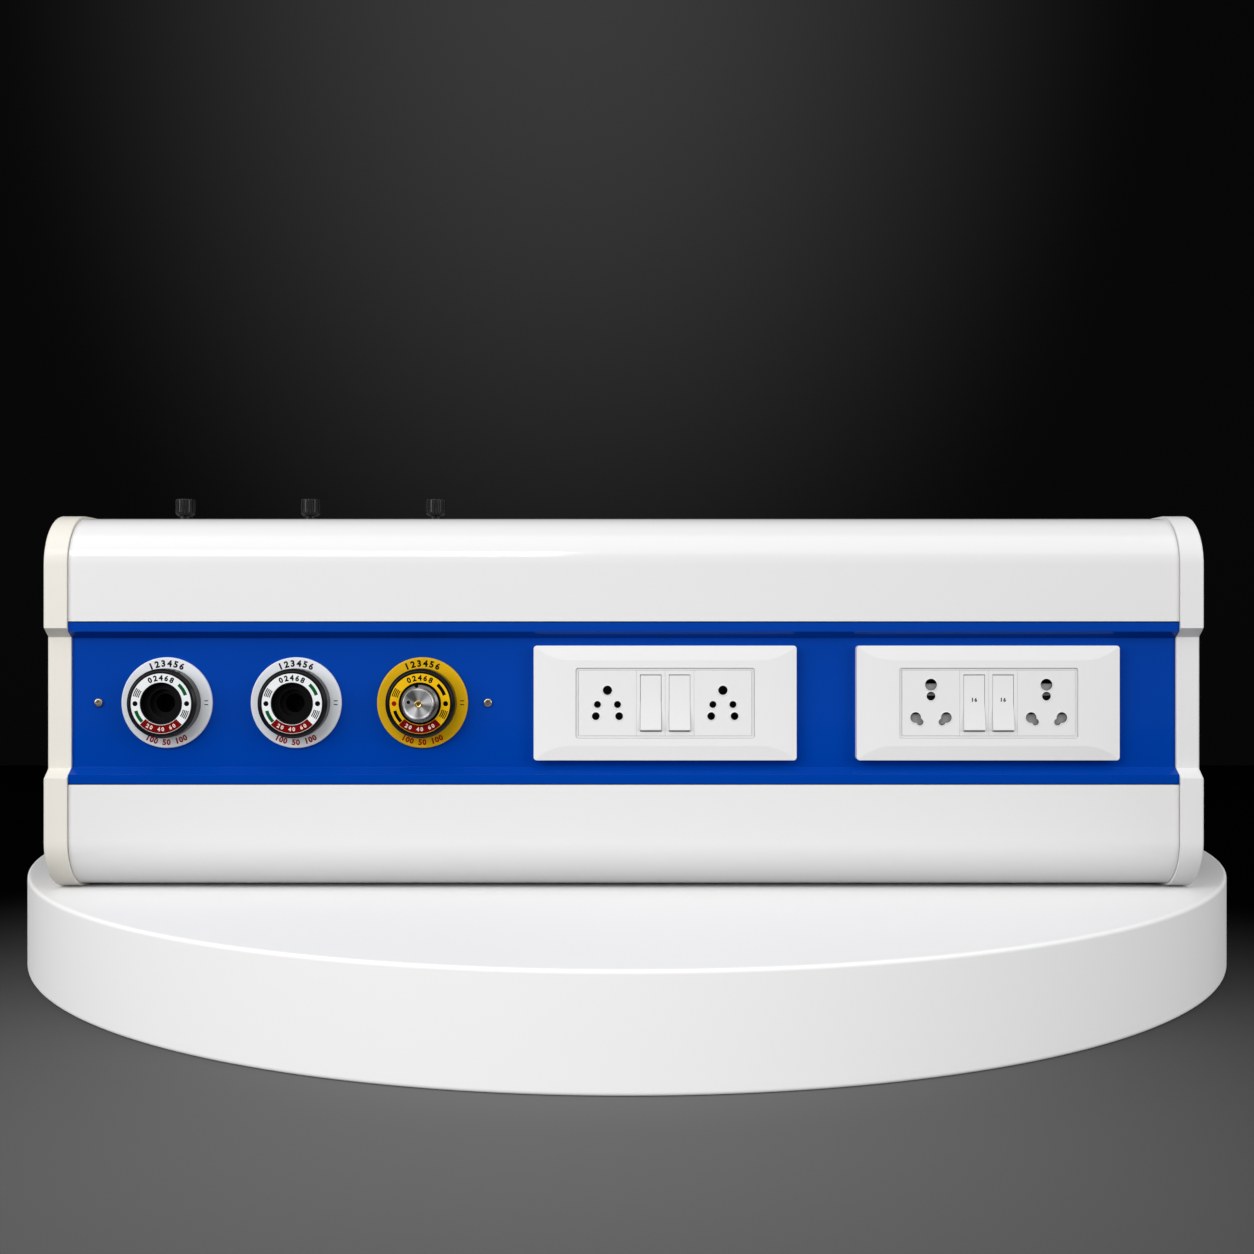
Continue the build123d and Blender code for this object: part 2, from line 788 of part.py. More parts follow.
for number, plate_x in enumerate(plate_positions, start=1):
    with BuildPart() as cover_plate:
        with BuildSketch(side_plane(plate_x - cover_half_width)):
            with BuildLine():
                Polyline(
                    (-recess_front, 0),
                    (-recess_front, cover_half_height),
                    (-cover_side_front, cover_half_height),
                    (-cover_front, cover_half_height - cover_plate_bevel),
                    (-cover_front, 0),
                    close=True,
                )
            make_face()
            mirror(about=Plane.XZ)
        extrude(amount=cover_plate_width)
        with BuildSketch(level_plane(-cover_half_height)):
            with BuildLine():
                crest = Line(
                    (plate_x - cover_half_flat, -cover_front),
                    (plate_x + cover_half_flat, -cover_front),
                )
                right_flank = TangentArc(
                    crest @ 1, (plate_x + cover_half_width, -cover_side_front), tangent=(1, 0)
                )
                left_flank = TangentArc(
                    crest @ 0, (plate_x - cover_half_width, -cover_side_front), tangent=(-1, 0)
                )
                Polyline(
                    right_flank @ 1,
                    (plate_x + cover_half_width, -recess_front),
                    (plate_x - cover_half_width, -recess_front),
                    left_flank @ 1,
                )
            make_face()
        extrude(amount=cover_plate_height, mode=Mode.INTERSECT)
        corners = cover_plate.edges().filter_by(Axis.Y)
        fillet(corners, cover_plate_corner)
        with BuildSketch(front_plane(recess_front)):
            with Locations((plate_x, 0)):
                Rectangle(
                    cover_plate_width - 2 * cover_plate_wall,
                    cover_plate_height - 2 * cover_plate_wall,
                )
        extrude(amount=cover_plate_depth - cover_plate_crown - cover_plate_wall, mode=Mode.SUBTRACT)
        with BuildSketch(front_plane(recess_front)):
            with Locations((plate_x, 0)):
                RectangleRounded(cover_opening_width, cover_opening_height, cover_plate_wall)
        extrude(amount=cover_plate_depth, mode=Mode.SUBTRACT)
    save(cover_plate.part, f"cover_plate_{number}")

    with BuildPart() as support_frame:
        with BuildSketch(front_plane(recess_front)):
            with Locations((plate_x, 0)):
                RectangleRounded(frame_width, frame_height, cover_plate_corner)
        extrude(amount=frame_base)
        with BuildSketch(front_plane(recess_front)):
            with Locations((plate_x, 0)):
                RectangleRounded(
                    cover_opening_width - 2 * frame_rim_gap,
                    cover_opening_height - 2 * frame_rim_gap,
                    cover_plate_wall - frame_rim_gap,
                )
        extrude(amount=frame_rim_rise)
        with BuildSketch(front_plane(frame_front)):
            with Locations((plate_x, 0)):
                Rectangle(modules_width + 2 * module_gap, module_height + 2 * module_gap)
        extrude(amount=frame_rim_rise, mode=Mode.SUBTRACT)
        with BuildSketch(front_plane(recess_front)):
            with Locations((plate_x, 0)):
                Rectangle(modules_width, module_body_height + cutout_gap)
            for side in (-1, 1):
                with Locations((plate_x + side * frame_screw_offset, 0)):
                    Circle(frame_screw_radius + turning_clearance)
        extrude(amount=frame_base, mode=Mode.SUBTRACT)
    save(support_frame.part, f"support_frame_{number}")

with BuildPart() as frame_screws:
    frame_screw_places = [
        (plate_x + side * frame_screw_offset, 0)
        for plate_x in plate_positions
        for side in (-1, 1)
    ]
    with BuildSketch(front_plane(frame_front - frame_screw_length)):
        with Locations(*frame_screw_places):
            Circle(frame_screw_radius)
    extrude(amount=frame_screw_length)
    with BuildSketch(front_plane(frame_front)):
        with Locations(*frame_screw_places):
            Circle(frame_screw_head_radius)
    extrude(amount=frame_screw_head_height)

save(frame_screws.part, "frame_screws")


def module_block(x, width):
    """Front flange and rear body of a module, centred on x, added to the open part."""
    with BuildSketch(front_plane(frame_front)) as flange:
        with Locations((x, 0)):
            Rectangle(width - module_gap, module_height)
    extrude(flange.sketch, amount=module_front_depth - frame_front)
    with BuildSketch(front_plane(module_body_depth)) as rear:
        with Locations((x, 0)):
            Rectangle(width - 2 * module_body_inset, module_body_height)
    extrude(rear.sketch, amount=frame_front - module_body_depth)


def cut_round_holes(x, holes, back_depth, front, grow=0.0):
    """Cut round holes given as (offset x, z, radius), from back_depth to front."""
    with BuildSketch(front_plane(back_depth)) as outlines:
        for offset_x, offset_z, radius in holes:
            with Locations((x + offset_x, offset_z)):
                Circle(radius + grow)
    extrude(outlines.sketch, amount=front - back_depth, mode=Mode.SUBTRACT)


def both_sides(hole):
    """The same hole left and right of the socket's centre line."""
    offset_x, offset_z, radius = hole
    return [(-offset_x, offset_z, radius), (offset_x, offset_z, radius)]


def hole_lips(x, holes):
    """Thin raised lips round holes on the module's front face."""
    with BuildSketch(front_plane(module_front_depth)) as outlines:
        for offset_x, offset_z, radius in holes:
            with Locations((x + offset_x, offset_z)):
                Circle(radius + lip_width)
    extrude(outlines.sketch, amount=lip_height)


small_holes = [small_earth] + both_sides(small_upper) + both_sides(small_lower)
large_holes = (
    [large_earth, large_earth_low] + both_sides(large_pin) + both_sides(large_pin_low)
)
large_contacts = [large_earth] + both_sides(large_pin)
bore_back = module_front_depth - socket_bore_depth
sleeve_front = bore_back + sleeve_length
socket_offset = modules_width / 2 - module_width
shutter_front = module_front_depth - socket_front_wall
shutter_space = shutter_wall + 2 * shutter_gap
shutter_back = shutter_front - shutter_space
sleeve_places = []


socket_number = 0
for plate_number, plate_x in enumerate(plate_positions, start=1):
    for side in (-1, 1):
        socket_number += 1
        socket_x = plate_x + side * socket_offset
        shuttered = plate_number == 2
        holes = large_holes if shuttered else small_holes
        contacts = large_contacts if shuttered else small_holes
        with BuildPart() as socket:
            module_block(socket_x, 2 * module_width)
            hole_lips(socket_x, holes)
            if shuttered:
                cavity_top = shutter_block_top + shutter_up + shutter_gap
                cavity_bottom = shutter_blade_bottom - shutter_down - shutter_gap
                with BuildSketch(front_plane(shutter_back)):
                    with Locations((socket_x, (cavity_top + cavity_bottom) / 2)):
                        Rectangle(2 * shutter_cavity_half, cavity_top - cavity_bottom)
                extrude(amount=shutter_space, mode=Mode.SUBTRACT)
            cut_round_holes(
                socket_x, holes, shutter_back if shuttered else bore_back,
                module_front_depth + lip_height,
            )
            cut_round_holes(socket_x, contacts, bore_back, module_front_depth)
            cut_round_holes(
                socket_x, contacts, bore_back, sleeve_front, grow=sleeve_wall + sleeve_gap
            )
        save(socket.part, f"socket_{socket_number}")
        sleeve_places += [(socket_x + dx, dz, radius) for dx, dz, radius in contacts]

        if shuttered:
            with BuildPart() as shutter:
                with BuildSketch(front_plane(shutter_back + shutter_gap)):
                    with Locations((socket_x, (shutter_block_top + shutter_blade_bottom) / 2)):
                        Rectangle(
                            2 * shutter_block_half, shutter_block_top - shutter_blade_bottom
                        )
                    with Locations((socket_x, (shutter_blade_top + shutter_blade_bottom) / 2)):
                        Rectangle(
                            2 * shutter_blade_half, shutter_blade_top - shutter_blade_bottom
                        )
                    with Locations((socket_x, shutter_block_bottom)):
                        Rectangle(
                            2 * shutter_arm_inner,
                            shutter_block_bottom - shutter_blade_bottom,
                            align=(Align.CENTER, Align.MAX),
                            mode=Mode.SUBTRACT,
                        )
                extrude(amount=shutter_wall)
                nose_edges = shutter.edges().filter_by(Axis.X).group_by(Axis.Y)[0]
                chamfer(nose_edges.group_by(Axis.Z)[-1], shutter_nose)
            save(shutter.part, f"shutter_{socket_number}")

with BuildPart() as contact_sleeves:
    with BuildSketch(front_plane(bore_back)):
        for sleeve_x, sleeve_z, radius in sleeve_places:
            with Locations((sleeve_x, sleeve_z)):
                Circle(radius + sleeve_wall)
        for sleeve_x, sleeve_z, radius in sleeve_places:
            with Locations((sleeve_x, sleeve_z)):
                Circle(radius, mode=Mode.SUBTRACT)
    extrude(amount=sleeve_length)

save(contact_sleeves.part, "contact_sleeves")


# Switches: one body node per plate, and one rocker per switch
rocker_number = 0
rocker_front = module_front_depth - rocker_front_inset
rocker_reach = rocker_end_radius + rocker_trim
rocker_rise = rocker_reach * tan(radians(rocker_tilt))

for plate_number, plate_x in enumerate(plate_positions, start=1):
    switch_places = [plate_x + side * module_width / 2 for side in (-1, 1)]
    with BuildPart() as switch_bodies:
        for switch_x in switch_places:
            module_block(switch_x, module_width)
            with BuildSketch(front_plane(module_front_depth - switch_cavity_depth)):
                with Locations((switch_x, 0)):
                    Rectangle(
                        rocker_width + 2 * rocker_side_gap,
                        2 * (rocker_end_radius + rocker_end_gap),
                    )
            extrude(amount=switch_cavity_depth, mode=Mode.SUBTRACT)
            pin_span = rocker_width + 2 * (rocker_pin_length + rocker_pin_clearance)
            with BuildSketch(side_plane(switch_x - pin_span / 2)):
                with Locations((-pivot_depth, 0)):
                    Circle(rocker_pin_radius + rocker_pin_clearance)
            extrude(amount=pin_span, mode=Mode.SUBTRACT)
    save(switch_bodies.part, f"switch_bodies_{plate_number}")

    for switch_x in switch_places:
        rocker_number += 1
        with BuildPart() as rocker:
            with BuildSketch(side_plane(switch_x - rocker_width / 2)):
                with BuildLine():
                    Polyline(
                        (-pivot_depth + rocker_back, rocker_reach),
                        (-rocker_front, rocker_reach),
                        (-rocker_front, 0),
                        (-rocker_front - rocker_rise, -rocker_reach),
                        (-pivot_depth + rocker_back, -rocker_reach),
                        close=True,
                    )
                make_face()
                with Locations((-pivot_depth, 0)):
                    Circle(rocker_end_radius, mode=Mode.INTERSECT)
            extrude(amount=rocker_width)
            with BuildSketch(side_plane(switch_x - rocker_width / 2 - rocker_pin_length)):
                with Locations((-pivot_depth, 0)):
                    Circle(rocker_pin_radius)
            extrude(amount=rocker_width + 2 * rocker_pin_length)
        save(rocker.part, f"rocker_{rocker_number}")
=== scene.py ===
# %% [markdown]
# # A bed head unit, dressed over its CAD frame
#
# The CAD model gives every solid its size and place, and this notebook gives those solids their
# looks. Flat CAD faces meet in edges of no width, which no real moulding or extrusion has, so the
# pieces that catch light are copied and given small rounded edges. Round pieces are turned again
# from a profile, because a turned surface can be as smooth as wanted. The printed marks are thin
# patches that lie on their faces and ride with the body that carries them.
#
# Lengths in this notebook are in millimetres until a mesh is made, and a depth is a distance in
# front of the wall, so y is minus the depth.

# %% Load the frame
import json
from math import cos, pi, radians, sin

import bmesh
import bpy
import numpy as np
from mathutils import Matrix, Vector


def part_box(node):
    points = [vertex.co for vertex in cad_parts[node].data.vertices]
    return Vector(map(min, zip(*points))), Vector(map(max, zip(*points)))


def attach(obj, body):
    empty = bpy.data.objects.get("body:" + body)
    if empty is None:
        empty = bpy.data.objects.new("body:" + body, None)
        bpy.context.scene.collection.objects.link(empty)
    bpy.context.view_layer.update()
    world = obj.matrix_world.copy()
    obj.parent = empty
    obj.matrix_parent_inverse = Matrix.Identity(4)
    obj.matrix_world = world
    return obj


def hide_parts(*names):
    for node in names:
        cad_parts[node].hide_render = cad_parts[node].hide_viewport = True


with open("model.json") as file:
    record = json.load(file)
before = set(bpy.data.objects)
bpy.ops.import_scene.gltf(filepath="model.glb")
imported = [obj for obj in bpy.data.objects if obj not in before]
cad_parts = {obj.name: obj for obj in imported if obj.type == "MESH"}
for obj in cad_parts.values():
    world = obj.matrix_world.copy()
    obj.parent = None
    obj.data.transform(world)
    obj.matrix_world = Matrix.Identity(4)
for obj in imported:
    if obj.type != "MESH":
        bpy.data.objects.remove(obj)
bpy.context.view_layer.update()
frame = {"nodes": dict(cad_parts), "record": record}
record = frame["record"]
slot_of = {part["node"]: part["material_slot"] for part in record["subparts"]}
body_of = {
    node: body for body, nodes in record["behaviour"]["bodies"].items() for node in nodes
}
MM = 0.001


def box_mm(node):
    """Lowest and highest corner of a CAD node, in millimetres."""
    low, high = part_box(node)
    return np.array(low) / MM, np.array(high) / MM


def centre_x(node):
    """The x of a node's middle, in millimetres."""
    low, high = box_mm(node)
    return (low[0] + high[0]) / 2


def front_of(node):
    """A node's foremost depth, in millimetres in front of the wall."""
    return -box_mm(node)[0][1]


# %% [markdown]
# ## Shared shader groups
#
# Three effects are used by several materials, so each is a node group. Fine grain is what a
# powder coat or a moulded face shows close up: it moves the roughness a little and lifts the
# surface by microns. Turning marks are the rings that a lathe leaves about the outlet's axis, and
# the group also gives painted fans of reflection on them. The painted shade group darkens a
# moulding's inside behind its thin front, where shade falls.

# %% Node group tools
def srgb(red, green, blue):
    """Linear colour with alpha for three values from 0 to 255 as a screen shows them."""
    shares = np.array([red, green, blue]) / 255
    low = shares / 12.92
    high = ((shares + 0.055) / 1.055) ** 2.4
    return [*np.where(shares <= 0.04045, low, high).tolist(), 1.0]


def new_group(name, inputs, outputs):
    """Empty shader group with float or vector sockets, and its input and output nodes."""
    group = bpy.data.node_groups.new(name, "ShaderNodeTree")
    for label, kind, value in inputs:
        socket = group.interface.new_socket(label, in_out="INPUT", socket_type=kind)
        socket.default_value = value
    for label, kind in outputs:
        group.interface.new_socket(label, in_out="OUTPUT", socket_type=kind)
    return group, group.nodes.new("NodeGroupInput"), group.nodes.new("NodeGroupOutput")


def math_node(tree, operation, first, second):
    """Math node in a tree, with links or numbers as its two inputs. Returns its output."""
    node = tree.nodes.new("ShaderNodeMath")
    node.operation = operation
    for socket, value in zip(node.inputs, (first, second)):
        if isinstance(value, (int, float)):
            socket.default_value = value
        else:
            tree.links.new(value, socket)
    return node.outputs[0]


# %% [markdown]
# ### Fine grain
#
# Powder coat and moulded plastic are never quite even. One noise texture could drive everything,
# but two are used here: a fine one for the surface's height, and a slow one that drifts the
# roughness over a hand's width, as real coats do.

# %% Fine grain
FLOAT = "NodeSocketFloat"
DRIFT_SCALE = 9.0
grain, grain_in, grain_out = new_group(
    "fine_grain",
    [("Roughness", FLOAT, 0.4), ("Spread", FLOAT, 0.06), ("Pitch mm", FLOAT, 0.8)],
    [("Roughness", FLOAT), ("Height", FLOAT)],
)
where = grain.nodes.new("ShaderNodeTexCoord")
pitch = math_node(grain, "DIVIDE", 1000.0, grain_in.outputs["Pitch mm"])
speckle = grain.nodes.new("ShaderNodeTexNoise")
speckle.inputs["Detail"].default_value = 3.0
grain.links.new(where.outputs["Object"], speckle.inputs["Vector"])
grain.links.new(pitch, speckle.inputs["Scale"])
drift = grain.nodes.new("ShaderNodeTexNoise")
drift.inputs["Scale"].default_value = DRIFT_SCALE
grain.links.new(where.outputs["Object"], drift.inputs["Vector"])
uneven = math_node(grain, "SUBTRACT", drift.outputs["Fac"], 0.5)
uneven = math_node(grain, "MULTIPLY", uneven, grain_in.outputs["Spread"])
uneven = math_node(grain, "ADD", uneven, grain_in.outputs["Roughness"])
grain.links.new(uneven, grain_out.inputs["Roughness"])
grain.links.new(speckle.outputs["Fac"], grain_out.inputs["Height"])

# %% [markdown]
# ### Turning marks and painted fans
#
# A lathe leaves fine rings about its axis. They could be a texture image, but the distance from
# the axis gives them at any size: a noise along that distance is the groove's height. The angle
# about the axis gives the fans of light, from two sines with five turns and two turns; these fans
# are painted reflections, mixed into a base colour rather than made by the lamps.

# %% Turning marks and painted fans
FAN_TURNS = (5.0, 2.0)
rings, rings_in, rings_out = new_group(
    "turning_marks_and_painted_fans",
    [("Centre x", FLOAT, 0.0), ("Pitch mm", FLOAT, 0.5)],
    [("Height", FLOAT), ("Painted fans", FLOAT)],
)
where = rings.nodes.new("ShaderNodeTexCoord")
split = rings.nodes.new("ShaderNodeSeparateXYZ")
rings.links.new(where.outputs["Object"], split.inputs[0])
across = math_node(rings, "SUBTRACT", split.outputs["X"], rings_in.outputs["Centre x"])
square = math_node(rings, "MULTIPLY", across, across)
upward = math_node(rings, "MULTIPLY", split.outputs["Z"], split.outputs["Z"])
radius = math_node(rings, "SQRT", math_node(rings, "ADD", square, upward), 0.0)
grooves = rings.nodes.new("ShaderNodeTexNoise")
grooves.noise_dimensions = "1D"
grooves.inputs["Detail"].default_value = 4.0
rings.links.new(radius, grooves.inputs["W"])
pitch = math_node(rings, "DIVIDE", 1000.0, rings_in.outputs["Pitch mm"])
rings.links.new(pitch, grooves.inputs["Scale"])
turn = math_node(rings, "ARCTAN2", split.outputs["Z"], across)
wide, slow = (
    math_node(rings, "SINE", math_node(rings, "MULTIPLY", turn, turns), 0.0) for turns in FAN_TURNS
)
fans = math_node(rings, "MULTIPLY", math_node(rings, "ADD", wide, slow), 0.5)
rings.links.new(grooves.outputs["Fac"], rings_out.inputs["Height"])
rings.links.new(fans, rings_out.inputs["Painted fans"])

# %% [markdown]
# ### Painted shade behind the front
#
# Behind a moulding's thin front its inside lies in shade, and this group paints that shade
# without cutting the moulding in two. It compares a point's depth with the depth where the
# painted shade starts, and its mask turns from nought to one over a short blend.

# %% Painted shade behind the front
shade_behind_face, shade_behind_in, shade_behind_out = new_group(
    "painted_shade_behind_face",
    [("Depth", FLOAT, 0.07), ("Blend", FLOAT, 0.0002)],
    [("Mask", FLOAT)],
)
where = shade_behind_face.nodes.new("ShaderNodeTexCoord")
split = shade_behind_face.nodes.new("ShaderNodeSeparateXYZ")
shade_behind_face.links.new(where.outputs["Object"], split.inputs[0])
proud = math_node(shade_behind_face, "MULTIPLY", split.outputs["Y"], -1.0)
proud = math_node(shade_behind_face, "SUBTRACT", proud, shade_behind_in.outputs["Depth"])
proud = math_node(shade_behind_face, "DIVIDE", proud, shade_behind_in.outputs["Blend"])
clamp = shade_behind_face.nodes.new("ShaderNodeClamp")
shade_behind_face.links.new(proud, clamp.inputs["Value"])
shade_behind_face.links.new(clamp.outputs[0], shade_behind_out.inputs["Mask"])
print("groups:", ", ".join(group.name for group in bpy.data.node_groups))

# %% [markdown]
# ## Materials
#
# Most finishes here are one colour with a surface of its own, so one function makes them all:
# the colour, how rough it is and how much that varies, the grain's pitch and height, and a thin
# clear coat where a surface is glossier than what lies under it. The colours are read from the
# photo as the screen shows them.

# %% Plain finishes
COAT_ROUGHNESS = 0.08


def finish(
    name, colour, roughness, metallic=0.0, coat=0.0, pitch=0.8, height=0.004, spread=0.06, sheen=0.5
):
    """Material of one colour with fine grain. Height is the grain's lift in millimetres, and
    sheen is how strongly a bare surface mirrors, where 0.5 is plain plastic."""
    material = bpy.data.materials.new(name)
    material.use_nodes = True
    tree = material.node_tree
    shader = tree.nodes["Principled BSDF"]
    shader.inputs["Base Color"].default_value = srgb(*colour)
    shader.inputs["Metallic"].default_value = metallic
    shader.inputs["Coat Weight"].default_value = coat
    shader.inputs["Coat Roughness"].default_value = COAT_ROUGHNESS
    shader.inputs["Specular IOR Level"].default_value = sheen
    surface = tree.nodes.new("ShaderNodeGroup")
    surface.node_tree = grain
    surface.inputs["Roughness"].default_value = roughness
    surface.inputs["Spread"].default_value = spread
    surface.inputs["Pitch mm"].default_value = pitch
    bump = tree.nodes.new("ShaderNodeBump")
    bump.inputs["Distance"].default_value = height * MM
    tree.links.new(surface.outputs["Roughness"], shader.inputs["Roughness"])
    tree.links.new(surface.outputs["Height"], bump.inputs["Height"])
    tree.links.new(bump.outputs["Normal"], shader.inputs["Normal"])
    return material


materials = {}


def add_finish(name, *values, **named):
    """Make a plain finish and keep it under its name."""
    materials[name] = finish(name, *values, **named)


print("one function for all plain finishes")

# %% [markdown]
# ### Coats and mouldings
#
# The covers are powder coated: the coat's gloss is what shows the long lamp as a bright band, and
# the colour under it is matt. The fascia has the same coat, but thinner. The caps and plates are
# moulded, so they have a coarser, softer grain and less gloss.

# %% Coats and mouldings
SHOWN_WHITE = (231, 230, 230)
add_finish("white_cover", SHOWN_WHITE, 0.5, coat=1.0, pitch=1.2, height=0.003, sheen=0.0)
add_finish("blue_fascia", (0, 60, 159), 0.5, coat=0.35, pitch=0.6, height=0.004, sheen=0.0)
moulded = {"coat": 0.2, "pitch": 2.0, "height": 0.006, "sheen": 0.2}
add_finish("cap_ivory", (229, 225, 216), 0.5, **moulded)
add_finish("cap_grey", (230, 229, 229), 0.5, **moulded)
add_finish("plate_white", (233, 232, 232), 0.4, coat=0.4, pitch=2.5, height=0.002, sheen=0.3)
add_finish("ring_white", (222, 225, 229), 0.45, sheen=0.25)
add_finish("ring_yellow", (214, 168, 0), 0.45, sheen=0.2)
add_finish("dial_white", (230, 233, 235), 0.45, sheen=0.25)
add_finish("dial_yellow", (232, 182, 0), 0.45, sheen=0.2)
add_finish("shutter_grey", (150, 150, 149), 0.45)
add_finish("body_black", (4, 4, 4), 0.35, sheen=0.2)
add_finish("black_anodised", (4, 4, 5), 0.3, pitch=0.4, sheen=0.3)
add_finish("knob_black", (3, 3, 3), 0.32, pitch=0.3, sheen=0.3)
add_finish("hole_black", (3, 3, 3), 0.6, sheen=0.1)
print(len(materials), "coats and mouldings")

# %% [markdown]
# ### Metals
#
# A bare metal differs from a coat in one value: metallic is 1, and its colour is then the colour
# of what it mirrors. The wall plate's zinc is patchy, so its roughness varies most.

# %% Metals
add_finish("zinc_steel", (176, 180, 184), 0.38, metallic=1.0, pitch=3.0, spread=0.2)
# Brass darkened with painted shade, for the poppets deep in the outlets' wells.
add_finish("brass_painted_shade", (30, 20, 12), 0.4, metallic=0.6)
metal_looks = {
    "screw_nickel": ((196, 186, 165), 0.28),
    "brass": ((205, 168, 96), 0.3),
    "spring_steel": ((150, 150, 152), 0.3),
    "copper": ((200, 120, 84), 0.3),
    "plug_dark": ((112, 112, 115), 0.34),
}
for name, (colour, roughness) in metal_looks.items():
    add_finish(name, colour, roughness, metallic=1.0)
print(len(metal_looks) + 2, "metals")

# %% [markdown]
# ### Inks
#
# Printing ink is matt and thin. A low sheen keeps the marks dark under the front lamps.

# %% Inks
ink_looks = {
    "ink_black": ((3, 3, 3), 0.05),
    "ink_red": ((150, 8, 10), 0.05),
    "ink_deep_red": ((112, 4, 6), 0.05),
    "ink_green": ((0, 84, 30), 0.05),
    "ink_pale": ((226, 206, 200), 0.1),
}
for name, (colour, sheen) in ink_looks.items():
    add_finish(name, colour, 0.5, sheen=sheen)
print(len(materials), "plain finishes")

# %% [markdown]
# ### Moulded modules
#
# The socket and switch modules are white only in front. Behind the thin face their inside is in
# the dark, and the photo shows every pin hole black, so that shade is painted: the painted shade
# group's mask mixes a near black into the colour. The support frames get a dark grey painted
# shade behind their rim the same way. The rockers are white all through, because their sides
# are seen when they tilt.

# %% Moulded modules
module_surface = {"coat": 0.3, "pitch": 2.5, "height": 0.002, "sheen": 0.3}
# How far behind a face the painted shade begins, in millimetres.
SHADE_INSET = 0.35


def front_with_painted_shade(name, colour, shade_colour, shade_depth):
    """Finish whose colour turns to a painted shade colour behind a depth in millimetres."""
    material = finish(name, colour, 0.4, **module_surface)
    tree = material.node_tree
    mask = tree.nodes.new("ShaderNodeGroup")
    mask.node_tree = shade_behind_face
    mask.inputs["Depth"].default_value = shade_depth * MM
    mix = tree.nodes.new("ShaderNodeMix")
    mix.data_type = "RGBA"
    mix.inputs["A"].default_value = srgb(*shade_colour)
    mix.inputs["B"].default_value = srgb(*colour)
    tree.links.new(mask.outputs["Mask"], mix.inputs["Factor"])
    tree.links.new(mix.outputs["Result"], tree.nodes["Principled BSDF"].inputs["Base Color"])
    return material


module_face = front_of("switch_bodies_1")
rim_face = front_of("support_frame_1")
# The near black and the dark grey below are painted shade inside the modules and the frames.
materials["module_white"] = front_with_painted_shade(
    "module_white", SHOWN_WHITE, (9, 9, 9), module_face - SHADE_INSET
)
materials["frame_white"] = front_with_painted_shade(
    "frame_white", SHOWN_WHITE, (40, 40, 40), rim_face - SHADE_INSET
)
materials["rocker_white"] = finish("rocker_white", SHOWN_WHITE, 0.4, **module_surface)
print("module face at depth", round(module_face, 2), "and rim at", round(rim_face, 2))

# %% [markdown]
# ### Turned chrome
#
# The plug's head is turned and plated. Its rings scatter the light sideways, which shows as
# bright fans on a round face. The turning marks give the grooves as a bump, and the fans are
# painted reflections: the base colour turns darker between them.

# %% Turned chrome
GROOVE_DEPTH = 0.002
# The fans are painted reflections: between them the colour falls to FAN_SHADE of itself.
FAN_RANGE = (-0.6, 0.7)
FAN_SHADE = 0.5


def turned_chrome(name, colour, roughness, x, pitch):
    """Plated metal with turning marks about the outlet axis at x millimetres, and painted fans of
    reflection in its colour.
    """
    material = finish(name, colour, roughness, metallic=1.0)
    tree = material.node_tree
    shader = tree.nodes["Principled BSDF"]
    marks = tree.nodes.new("ShaderNodeGroup")
    marks.node_tree = rings
    marks.inputs["Centre x"].default_value = x * MM
    marks.inputs["Pitch mm"].default_value = pitch
    bump = next(node for node in tree.nodes if node.type == "BUMP")
    bump.inputs["Distance"].default_value = GROOVE_DEPTH * MM
    tree.links.new(marks.outputs["Height"], bump.inputs["Height"])
    fan = tree.nodes.new("ShaderNodeMapRange")
    fan.inputs["From Min"].default_value = FAN_RANGE[0]
    fan.inputs["From Max"].default_value = FAN_RANGE[1]
    tree.links.new(marks.outputs["Painted fans"], fan.inputs["Value"])
    mix = tree.nodes.new("ShaderNodeMix")
    mix.data_type = "RGBA"
    mix.inputs["A"].default_value = srgb(*[FAN_SHADE * share for share in colour])
    mix.inputs["B"].default_value = srgb(*colour)
    tree.links.new(fan.outputs["Result"], mix.inputs["Factor"])
    tree.links.new(mix.outputs["Result"], shader.inputs["Base Color"])
    return material


plug_x = centre_x("vacuum_plug")
materials["chrome"] = turned_chrome("chrome", (250, 250, 252), 0.42, plug_x, 0.35)
print("plug's axis at x", round(plug_x, 2))

# %% [markdown]
# ### A finish for every CAD node
#
# The record names a slot for each node, and most nodes get the finish of that name. A few look
# otherwise in the photo or deep in the dark: the bushes under the knobs are black, the poppets
# deep in the well are brass darkened with painted shade, and the rockers and support frames have
# their own kinds of white.

# %% Finishes on the CAD nodes
own_looks = {
    "rocker": ("rocker_white", (1, 2, 3, 4)),
    "support_frame": ("frame_white", (1, 2)),
    "poppet": ("brass_painted_shade", (1, 2, 3)),
    "valve_body": ("body_black", (1, 2, 3)),
    "valve_stem": ("body_black", (1, 2, 3)),
}
own_finish = {
    f"{kind}_{number}": look for kind, (look, numbers) in own_looks.items() for number in numbers
}
for node, item in frame["nodes"].items():
    item.data.materials.clear()
    item.data.materials.append(materials[own_finish.get(node, slot_of[node])])
print("every CAD node has its finish")

# %% [markdown]
# ## Edges for the CAD pieces
#
# A copy of a CAD node keeps its exact form. Its loose triangles are welded, triangles that share
# a plane become one face again, and each edge that turns by more than an angle gets a narrow
# bevel. The faces are then shaded by area, so flats stay flat right up to their rounded edges.

# %% Refined copies
WELD = 0.002
FLAT_ANGLE = 0.2


def settle(item, body, replaced=()):
    """Give a finished piece its body and the CAD nodes it stands for."""
    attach(item, body)
    if replaced:
        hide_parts(*replaced)
    return item


def shade_by_area(item):
    """Smooth faces whose normals follow the larger faces."""
    item.data.polygons.foreach_set("use_smooth", [True] * len(item.data.polygons))
    weighted = item.modifiers.new("weighted", "WEIGHTED_NORMAL")
    weighted.keep_sharp = True


